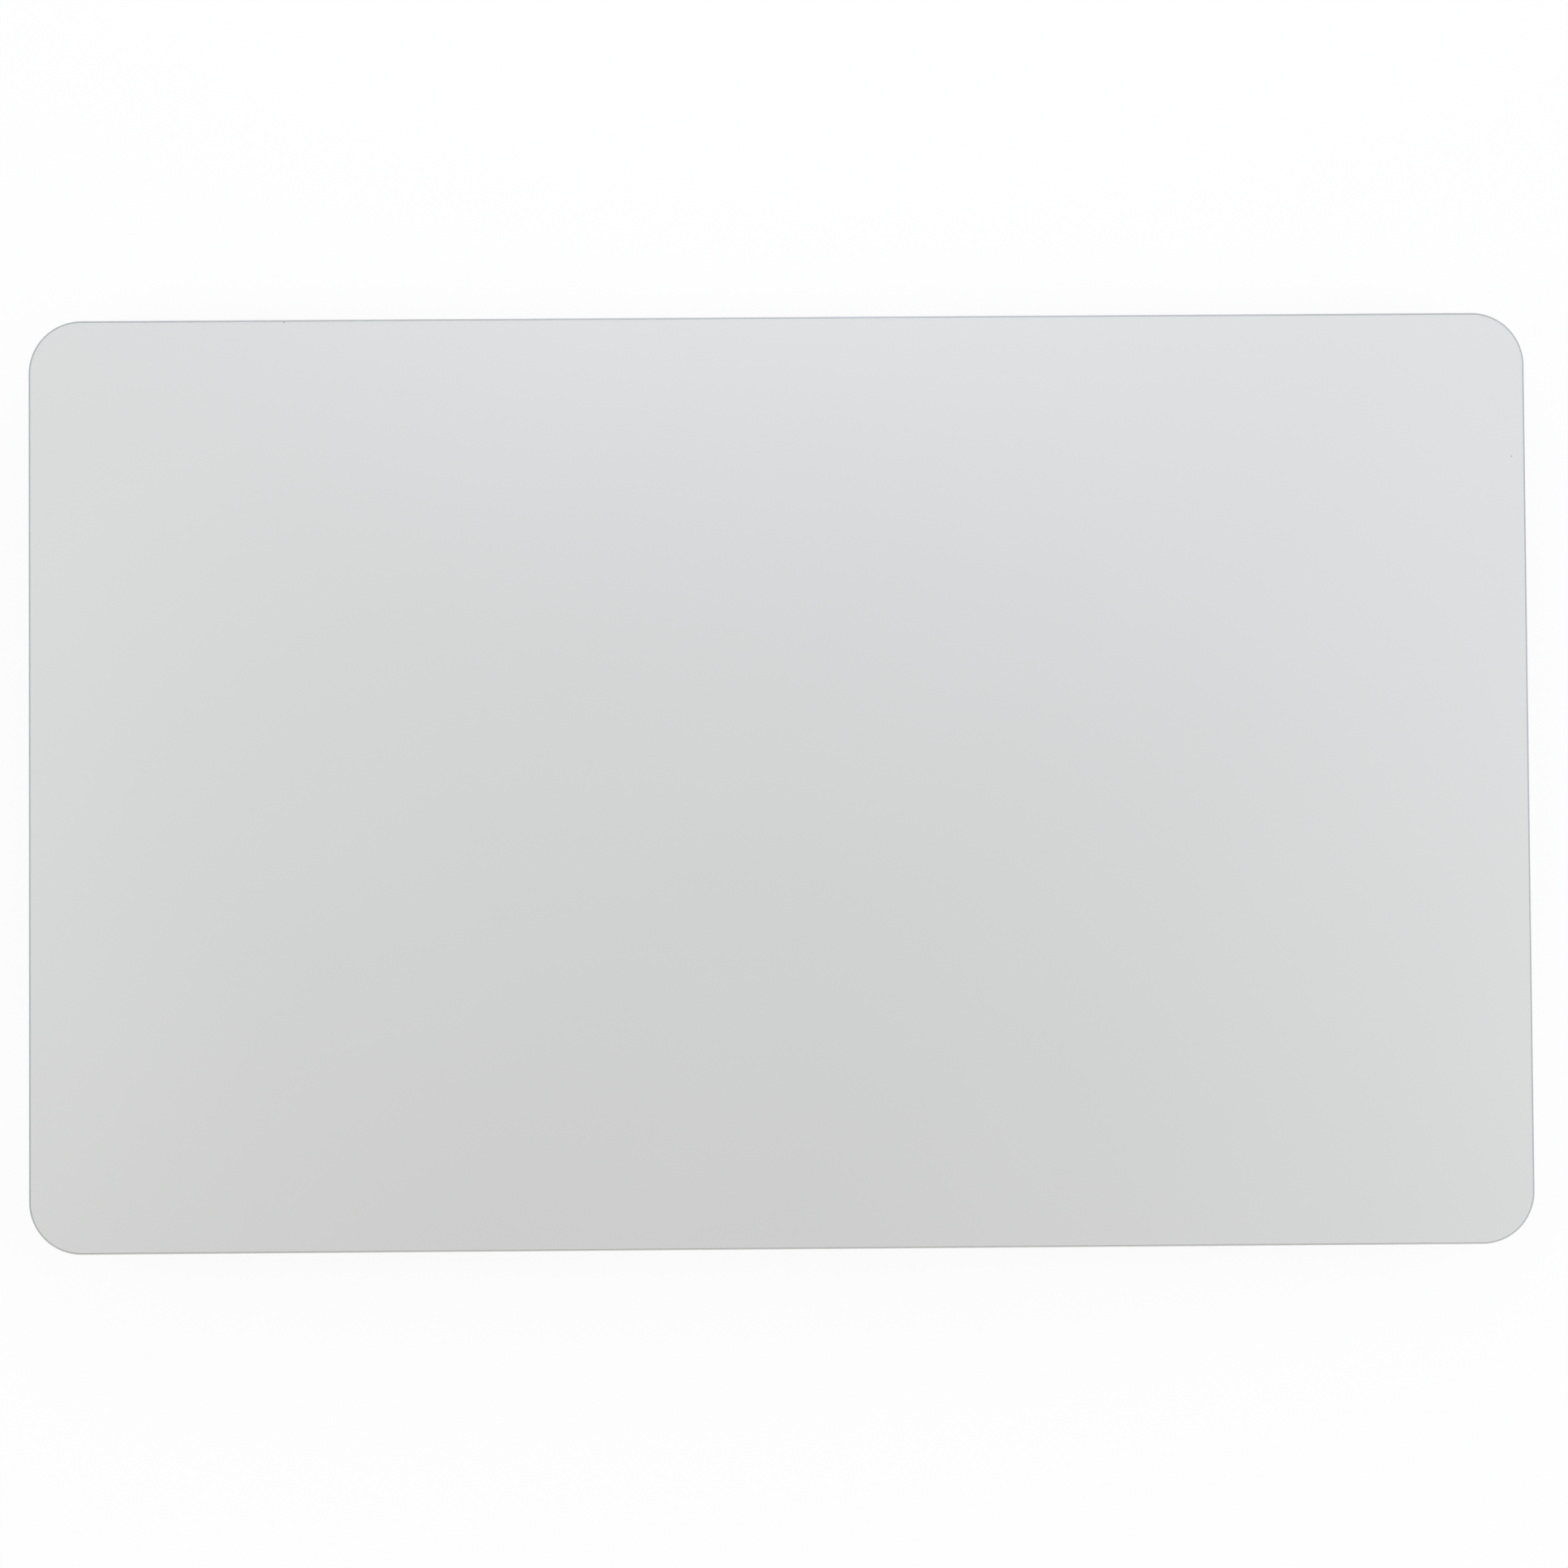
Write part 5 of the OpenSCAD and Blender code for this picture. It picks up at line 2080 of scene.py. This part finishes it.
def rounded_path(points: Sequence[Point], radius: float) -> list[Point]:
    """Path with its corners rounded.

    Args:
        points: Corners of the path.
        radius: Radius of the bends.

    Returns:
        The points of the rounded path.
    """
    path = [points[0]]
    for before, here, after in zip(points, points[1:], points[2:]):
        corner = Vector(here)
        back = (Vector(before) - corner).normalized()
        ahead = (Vector(after) - corner).normalized()
        half = back.angle(ahead) / 2.0
        reach = radius / math.tan(half)
        middle = corner + (back + ahead).normalized() * radius / math.sin(half)
        first = corner + back * reach - middle
        sweep = first.angle_signed(corner + ahead * reach - middle)
        for k in range(CORNER_STEPS + 1):
            swung = first.copy()
            swung.rotate(Matrix.Rotation(-sweep * k / CORNER_STEPS, 2))
            path.append(tuple(middle + swung))
    path.append(points[-1])
    return path


def ribbon(shape: Shape, path: Sequence[Point], x0: float, x1: float, thick: float) -> None:
    """Adds a flat ribbon along a path in the YZ plane.

    Args:
        shape: The geometry to add to.
        path: Points (y, z) of its middle line.
        x0: One side of the ribbon.
        x1: The other side.
        thick: Its thickness.
    """
    sections = []
    for k, (y, z) in enumerate(path):
        ahead = Vector(path[min(k + 1, len(path) - 1)]) - Vector(path[max(k - 1, 0)])
        across = Vector((-ahead.y, ahead.x)).normalized() * thick / 2.0
        corners = ((x0, 1.0), (x1, 1.0), (x1, -1.0), (x0, -1.0))
        sections.append([Vector((x, y + s * across.x, z + s * across.y)) for x, s in corners])
    loft(shape, sections)


@dataclass
class HapticDrive:
    """Comb core under the board with its coils and flex, which pulls the bar on the bridge."""

    shop: Workshop
    edge: float = 0.04 * MM
    wire: float = 0.12 * MM
    former_corner: float = 0.7 * MM
    wire_sides: int = 6
    turn_steps: int = 56
    wire_smooth: float = 70.0
    lead: float = 0.096 * MM
    lead_sides: int = 8
    lead_rise: float = 1.6
    lead_spread: float = 0.34
    lead_drop: float = 0.13 * MM
    lead_reach: float = 0.55 * MM
    flex_thick: float = 0.1 * MM
    flex_depth: float = 2.0 * MM
    flex_width: float = 3.0 * MM
    flex_bend: float = 0.4 * MM
    flex_radius: float = 0.35 * MM
    flex_lap: float = 0.02 * MM
    blob: float = 0.42 * MM
    blob_height: float = 0.22 * MM

    def build(self) -> None:
        """Builds and dresses every piece of the drive."""
        soften("magnet_core", "laminated_core", Slot.CORE, Body.PLATE, self.edge)
        soften("core_pad", "foam_core_pad", Slot.PAD, Body.PLATE, self.edge)
        soften("coil_bobbins", "moulded_bobbins", Slot.BOBBIN, Body.PLATE, self.edge)
        self.coils()
        self.flex()
        Screw(sunk=False).set_in(self.shop, "core_screws", "core_screw_set", Body.PLATE, seed=3)
        soften("armature_bar", "pull_bar", Slot.ARMATURE, Body.FRAME, 2.0 * self.edge)
        Screw().set_in(self.shop, "armature_screws", "bar_screw_set", Body.FRAME, seed=5)

    def coils(self) -> None:
        """Winds the four coils and leads their ends to the flex."""
        places = solids_of("drive_coils")
        size = places[0].size
        length = size.y - 2.0 * self.wire
        sizes = {
            "Width": size.x - 2.0 * self.wire,
            "Height": size.z - 2.0 * self.wire,
            "Corner": self.former_corner - self.wire,
            "Length": length,
            "Turns": round(length / (2.0 * self.wire)),
            "Steps": self.turn_steps,
            "Wire": self.wire,
            "Sides": self.wire_sides,
        }
        starts = [Vector((box.centre.x, box.low.y + self.wire, box.centre.z)) for box in places]
        coils = self.shop.winding.grow(
            "wound_drive_coils", Slot.WIRE, sizes, marks_mesh(starts), self.wire_smooth
        )
        settle(coils, Slot.WIRE, Body.PLATE, "drive_coils")
        paths, ends = [], []
        flex = Box.of("coil_flex")
        target = flex.high.y - self.flex_depth / 2.0
        for box in places:
            front, under = box.low.y, box.low.z - self.lead_drop
            knee = self.lead_reach / 3.0
            route = [
                (front + self.lead_reach, box.low.z + self.wire),
                (front + knee, under + self.wire / 2.0),
                (front - knee, under),
                (front - self.lead_reach, under),
                (target + self.blob * self.lead_rise, flex.low.z - self.wire),
                (target, flex.low.z - self.wire / 2.0),
            ]
            for side in Side:
                x = box.centre.x + side.value * size.x * self.lead_spread
                paths.append([Vector((x, y, z)) for y, z in route])
                ends.append(Vector((x, target, flex.low.z)))
        sizes = {"Wire": self.lead, "Sides": self.lead_sides}
        leads = self.shop.leads.grow(
            "coil_leads", Slot.WIRE, sizes, paths_mesh(paths), self.wire_smooth
        )
        settle(leads, Slot.WIRE, Body.PLATE)
        joint = disc(self.blob, self.edge, self.blob_height)
        blobs = self.shop.copies_of(
            "solder_joints", joint, Extra.SOLDER, ends, spin=math.tau, seed=7
        )
        settle(blobs, Slot.CONTACT, Body.PLATE)

    def flex(self) -> None:
        """Builds the flex strip under the yoke and its tail into the coil socket."""
        box = Box.of("coil_flex")
        front = box.high.y - self.flex_depth
        corner = Vector((box.low.x, front, box.low.z))
        across = Vector((box.high.x, box.high.y, box.low.z + self.flex_thick))
        strip = bmesh.new()
        block(strip, corner, across, self.flex_thick * SHEET_EDGE_SHARE, 1)
        bus = piece_of("coil_flex_bus", strip, Extra.BUS)
        settle(bus, Slot.FLEX, Body.PLATE, "coil_flex")
        socket = Box.of("coil_socket")
        drop_y = Box.of("magnet_core").low.y - self.flex_bend
        low = box.low.z + self.flex_thick / 2.0 - self.flex_lap
        high = box.high.z - self.flex_thick / 2.0
        corners = [
            (front + self.flex_depth / 2.0, low), (drop_y, low), (drop_y, high), (box.low.y, high)
        ]
        path = rounded_path(corners, self.flex_radius)
        middle, half = socket.centre.x, self.flex_width / 2.0
        tail = bmesh.new()
        ribbon(tail, path, middle - half, middle + half, self.flex_thick)
        settle(piece_of("coil_flex_tail", tail, Slot.FLEX, RIBBON_SMOOTH), Slot.FLEX, Body.PLATE)


@dataclass
class ForceSuspension:
    """Four leaf beams with their gauges, clamps, feet and gel discs."""

    shop: Workshop
    edge: float = 0.04 * MM
    corner: float = 0.8 * MM
    corner_steps: int = 5
    waist: float = 2.5 * MM
    waist_gap: float = 0.05 * MM
    free_steps: int = 16
    rivet: float = 0.8 * MM
    rivet_head: float = 1.5 * MM
    rivet_height: float = 0.35 * MM
    rivet_crown: float = 0.8
    gel_bulge: float = 0.12 * MM
    gel_steps: int = 6
    gel_sides: int = 40
    clamp_bore: float = 0.62 * MM
    clamp_sides: int = 24
    foil: float = 0.05 * MM
    foil_legs: int = 9
    foil_pitch: float = 0.36 * MM
    foil_leg: float = 2.6 * MM
    foil_sides: int = 4
    tail_width: float = 2.6 * MM
    tail_radius: float = 1.2 * MM
    tail_thick: float = 0.08 * MM
    tail_land: float = 3.0 * MM
    joint: float = 0.15 * MM
    joint_height: float = 0.1 * MM
    joint_inset: float = 0.45 * MM
    joint_pitch: float = 0.375 * MM
    joint_count: int = 6

    def build(self) -> None:
        """Builds and dresses every piece of the suspension."""
        feet = solids_of("foot_plates")
        reach = max(abs(box.low.x) for box in feet if box.low.x > 0.0)
        start = Box.of("right_rail").high.x
        for end in ("front", "back"):
            for side in Side:
                node = f"beam_{end}_{side.name.lower()}"
                self.beam(node, side, start, reach)
        self.gauges(start, reach)
        self.tails()
        self.plates("clamp_plates", Slot.CLAMP, Body.FRAME, solids_of("clamp_screws"))
        Screw().set_in(self.shop, "clamp_screws", "clamp_screw_set", Body.FRAME, seed=11)
        self.plates("foot_plates", Slot.FOOT, Body.FEET, ())
        self.rivets()
        self.gel()

    def half_width(self, x: float, box: Box, start: float, reach: float) -> float:
        """Half the width of a beam at a distance from the middle of the pad.

        Args:
            x: The distance.
            box: The beam's box.
            start: Where the beam leaves the rail.
            reach: Where its foot starts.

        Returns:
            Half the width there.
        """
        half = box.size.y / 2.0
        ends = sorted((abs(box.low.x), abs(box.high.x)))
        into = min(x - ends[0], ends[1] - x)
        if into < self.corner:
            return half - self.rounding(into)
        inside = min(x - start, reach - x) - self.waist_gap
        if inside < 0.0:
            return half
        return self.waist + (self.rounding(inside) if inside < self.corner else 0.0)

    def rounding(self, into: float) -> float:
        """How much a rounded corner takes off, at a distance from where it starts."""
        return self.corner - math.sqrt(max(0.0, self.corner**2 - (self.corner - into) ** 2))

    def stations(self, box: Box, start: float, reach: float) -> list[float]:
        """Finds where along a beam its sections go.

        Args:
            box: The beam's box.
            start: Where the beam leaves the rail.
            reach: Where its foot starts.

        Returns:
            Distances from the middle of the pad, in order.
        """
        first, last = sorted((abs(box.low.x), abs(box.high.x)))
        places = {first + self.waist_gap, last - self.waist_gap}
        for k in range(self.corner_steps + 1):
            share = self.corner * (1.0 - math.cos(math.pi / 2.0 * k / self.corner_steps))
            places |= {first + share, last - share}
            places |= {start + self.waist_gap + share, reach - self.waist_gap - share}
        for k in range(self.free_steps + 1):
            places.add(start + (reach - start) * k / self.free_steps)
        places |= {(first + start) / 2.0, (reach + last) / 2.0}
        least_step = self.waist_gap / 3.0
        ordered = sorted(places)
        kept = ordered[:1]
        for x in ordered[1:]:
            if x - kept[-1] > least_step:
                kept.append(x)
        return kept

    def beam(self, node: str, side: Side, start: float, reach: float) -> None:
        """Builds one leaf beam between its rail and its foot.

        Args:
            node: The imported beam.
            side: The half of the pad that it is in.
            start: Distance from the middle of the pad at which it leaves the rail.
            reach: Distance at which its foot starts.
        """
        box = Box.of(node)
        e = self.edge
        sections = []
        for x in self.stations(box, start, reach):
            half = max(e * 2.0, self.half_width(x, box, start, reach))
            ring = []
            for sy, sz in ((1, -1), (1, 1), (-1, 1), (-1, -1)):
                y = box.centre.y + sy * half
                z = box.high.z if sz > 0 else box.low.z
                flat = Vector((side.value * x, y - sy * e, z))
                upright = Vector((side.value * x, y, z - sz * e))
                ring += [flat, upright] if sy * sz < 0 else [upright, flat]
            sections.append(ring)
        shape = bmesh.new()
        loft(shape, sections)
        piece = piece_of(f"{node}_spring", shape, Slot.SPRING)
        span = tuple(Vector((side.value * x, *box.centre.yz)) for x in (start, reach))
        bend(piece, Slot.SPRING, (Body.FRAME, Body.FEET), span, node)

    def gauges(self, start: float, reach: float) -> None:
        """Builds the strain gauges and their foil on the beams.

        Args:
            start: Where the beams leave the rails.
            reach: Where their feet start.
        """
        for side in Side:
            places = [box for box in solids_of("strain_gauges") if box.centre.x * side.value > 0.0]
            shape = bmesh.new()
            paths = []
            for box in places:
                block(shape, box.low, box.high, self.tail_thick * SHEET_EDGE_SHARE, 1)
                path = []
                for k in range(self.foil_legs):
                    y = box.centre.y + (k - (self.foil_legs - 1) / 2.0) * self.foil_pitch
                    way = 1.0 if k % 2 else -1.0
                    for sign in (-way, way):
                        x = box.centre.x + sign * self.foil_leg / 2.0
                        path.append(Vector((x, y, box.low.z)))
                paths.append(path)
            name = side.name.lower()
            film = piece_of(f"gauge_films_{name}", shape, Slot.GAUGE)
            level = places[0].centre.z
            span = tuple(Vector((side.value * x, 0.0, level)) for x in (start, reach))
            bend(film, Slot.GAUGE, (Body.FRAME, Body.FEET), span, "strain_gauges")
            foil = self.shop.leads.grow(
                f"gauge_foils_{name}", Extra.FOIL, {"Wire": self.foil, "Sides": self.foil_sides},
                paths_mesh(paths),
            )
            bend(foil, Slot.GAUGE, (Body.FRAME, Body.FEET), span)

    def tails(self) -> None:
        """Builds the ribbons that climb from the gauges to the board."""
        gauges = solids_of("strain_gauges")
        beam = Box.of("beam_back_right")
        board = Box.of("touch_board").low.z - self.tail_thick / 2.0
        tails = solids_of("gauge_tails")
        level = Box.of("gauge_tails").low.z + self.tail_thick / 2.0
        inner = min(min(abs(box.low.y), abs(box.high.y)) for box in tails)
        land = inner + self.tail_land
        joints = []
        for sign, end in ((-1.0, "front"), (1.0, "back")):
            shape = bmesh.new()
            near = [box for box in gauges if box.centre.y * sign > 0.0]
            root = min(abs(near[0].low.y), abs(near[0].high.y))
            corners = [
                (sign * root, level), (sign * beam.low.y, level), (sign * land, board),
                (sign * inner, board),
            ]
            path = rounded_path(corners, self.tail_radius)
            for box in near:
                half = self.tail_width / 2.0
                ribbon(shape, path, box.centre.x - half, box.centre.x + half, self.tail_thick)
                for k in range(self.joint_count):
                    x = box.centre.x + (k - (self.joint_count - 1) / 2.0) * self.joint_pitch
                    y = sign * (inner + self.joint_inset)
                    joints.append(Vector((x, y, board - self.tail_thick / 2.0)))
            piece = piece_of(f"gauge_tails_{end}", shape, Slot.FLEX, RIBBON_SMOOTH)
            span = (
                Vector((0.0, sign * (2.0 * root - land), level)),
                Vector((0.0, sign * land, level)),
            )
            bend(piece, Slot.FLEX, (Body.FRAME, Body.FEET), span, "gauge_tails")
        part = disc(self.joint, self.tail_thick / 2.0, self.joint_height)
        made = self.shop.copies_of("tail_joints", part, Extra.SOLDER, joints)
        settle(made, Slot.CONTACT, Body.PLATE)

    def plates(self, node: str, slot: Slot, body: Body, bores: Sequence[Box]) -> None:
        """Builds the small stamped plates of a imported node.

        Args:
            node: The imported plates.
            slot: Their finish.
            body: The body that they move with.
            bores: Boxes of the screws that come through them.
        """
        shape = bmesh.new()
        for box in solids_of(node):
            through = [
                Outline.circle(bore.centre, self.clamp_bore, self.clamp_sides)
                for bore in bores
                if box.low.x < bore.centre.x < box.high.x and box.low.y < bore.centre.y < box.high.y
            ]
            Stamping(
                Outline.rounded(box, self.corner), box.low.z, box.high.z, self.edge, tuple(through)
            ).build(shape)
        settle(piece_of(f"{node}_stamped", shape, slot), slot, body, node)

    def rivets(self) -> None:
        """Builds the domed rivets of the feet."""
        height = solids_of("foot_rivets")[0].size.z
        crown = self.rivet_height * self.rivet_crown
        rings = dome(self.rivet_head, -crown, crown)[::-1]
        rings += [
            Ring(self.rivet_head, crown), Ring(self.rivet_head, self.rivet_height),
            Ring(self.rivet, self.rivet_height), Ring(self.rivet, height), Ring(0.0, height),
        ]
        part = turn(bmesh.new(), rings)
        self.shop.stand("foot_rivet_set", "foot_rivets", part, Slot.SCREW, Body.FEET)

    def gel(self) -> None:
        """Builds the gel discs between the feet and the board."""
        places = solids_of("gel_pads")
        radius, height = places[0].size.x / 2.0, places[0].size.z
        rings = [Ring(0.0, 0.0)]
        for k in range(self.gel_steps + 1):
            share = k / self.gel_steps
            swell = self.gel_bulge * math.sin(math.pi * share)
            rings.append(Ring(radius - self.gel_bulge + swell, height * share))
        rings.append(Ring(0.0, height))
        feet = [box.foot for box in places]
        part = turn(bmesh.new(), rings, segments=self.gel_sides)
        made = self.shop.copies_of("gel_discs", part, Slot.GEL, feet)
        span = (feet[0], feet[0] + Vector((0.0, 0.0, height)))
        bend(made, Slot.GEL, (Body.FEET, Body.PLATE), span, "gel_pads")


@dataclass
class MountFrame:
    """Rails, bridge, posts, shims and bump stops."""

    shop: Workshop
    edge: float = 0.07 * MM
    post: float = 2.0 * MM
    nose: float = 1.3 * MM
    shank: float = 1.5 * MM
    bore: float = 0.8 * MM
    thread: float = 0.1 * MM
    thread_pitch: float = 0.35 * MM
    shim: float = 0.2 * MM
    shim_bore: float = 1.35 * MM
    small_edge: float = 0.05 * MM
    stop_share: float = 0.45
    stop_steps: int = 7
    thread_smooth: float = 30.0

    def build(self) -> None:
        """Builds and dresses every piece of the frame."""
        for node in ("left_rail", "right_rail", "bridge"):
            soften(node, f"{node}_stamped", Slot.FRAME, Body.FRAME, self.edge)
        Screw().set_in(self.shop, "bridge_screws", "bridge_screw_set", Body.FRAME, seed=13)
        self.posts()
        self.shims()
        self.stops()

    def posts(self) -> None:
        """Builds the turned posts with their threaded bores."""
        height = solids_of("mount_posts")[0].size.z
        step = Box.of("left_rail").low.z
        e = self.small_edge
        rings = [
            Ring(self.nose - e, 0.0), Ring(self.nose, e), Ring(self.nose, self.shim),
            Ring(self.post - e, self.shim), Ring(self.post, self.shim + e),
            Ring(self.post, step - e), Ring(self.post - e, step), Ring(self.shank, step),
            Ring(self.shank, height - e), Ring(self.shank - e, height), Ring(self.bore + e, height),
        ]
        level = height - self.thread_pitch
        while level > self.thread_pitch:
            rings.append(Ring(self.bore, level))
            rings.append(Ring(self.bore - self.thread, level - self.thread_pitch / 2.0))
            level -= self.thread_pitch
        rings += [Ring(self.bore, level), Ring(self.bore + e, 0.0)]
        part = turn(bmesh.new(), rings, closed=True)
        self.shop.stand(
            "turned_posts", "mount_posts", part, Slot.POST, Body.FRAME, below=self.thread_smooth
        )

    def shims(self) -> None:
        """Builds the shim washers on the noses of the posts."""
        size = solids_of("shim_washers")[0].size
        radius, height = size.x / 2.0, size.z
        e = self.small_edge
        rings = [
            Ring(self.shim_bore, 0.0), Ring(radius - e, 0.0), Ring(radius, e),
            Ring(radius, height - e), Ring(radius - e, height), Ring(self.shim_bore, height),
        ]
        part = turn(bmesh.new(), rings, closed=True)
        self.shop.stand("shim_washer_set", "shim_washers", part, Slot.SHIM, Body.FRAME)

    def stops(self) -> None:
        """Builds the domed rubber stops on the rails."""
        size = solids_of("bump_stops")[0].size
        radius, height = size.x / 2.0, size.z
        skirt = height * self.stop_share
        rings = [Ring(0.0, 0.0), Ring(radius, 0.0), Ring(radius, skirt)]
        rings += dome(radius, height - skirt, skirt, self.stop_steps)
        part = turn(bmesh.new(), rings)
        self.shop.stand("bump_stop_set", "bump_stops", part, Slot.STOP, Body.FRAME)


def main() -> None:
    """Builds the scene in order."""
    logging.basicConfig(level=logging.INFO, format="%(name)s: %(message)s")
    shop = Workshop()
    for part in (
        Studio(),
        TouchPlate(shop),
        BoardElectronics(shop),
        FlipSocket(shop, "cable", Body.CABLE_FLAP),
        FlipSocket(shop, "coil", Body.COIL_FLAP),
        HapticDrive(shop),
        ForceSuspension(shop),
        MountFrame(shop),
    ):
        part.build()
        LOG.info("built %s", type(part).__name__)


if __name__ == "__main__":
    main()
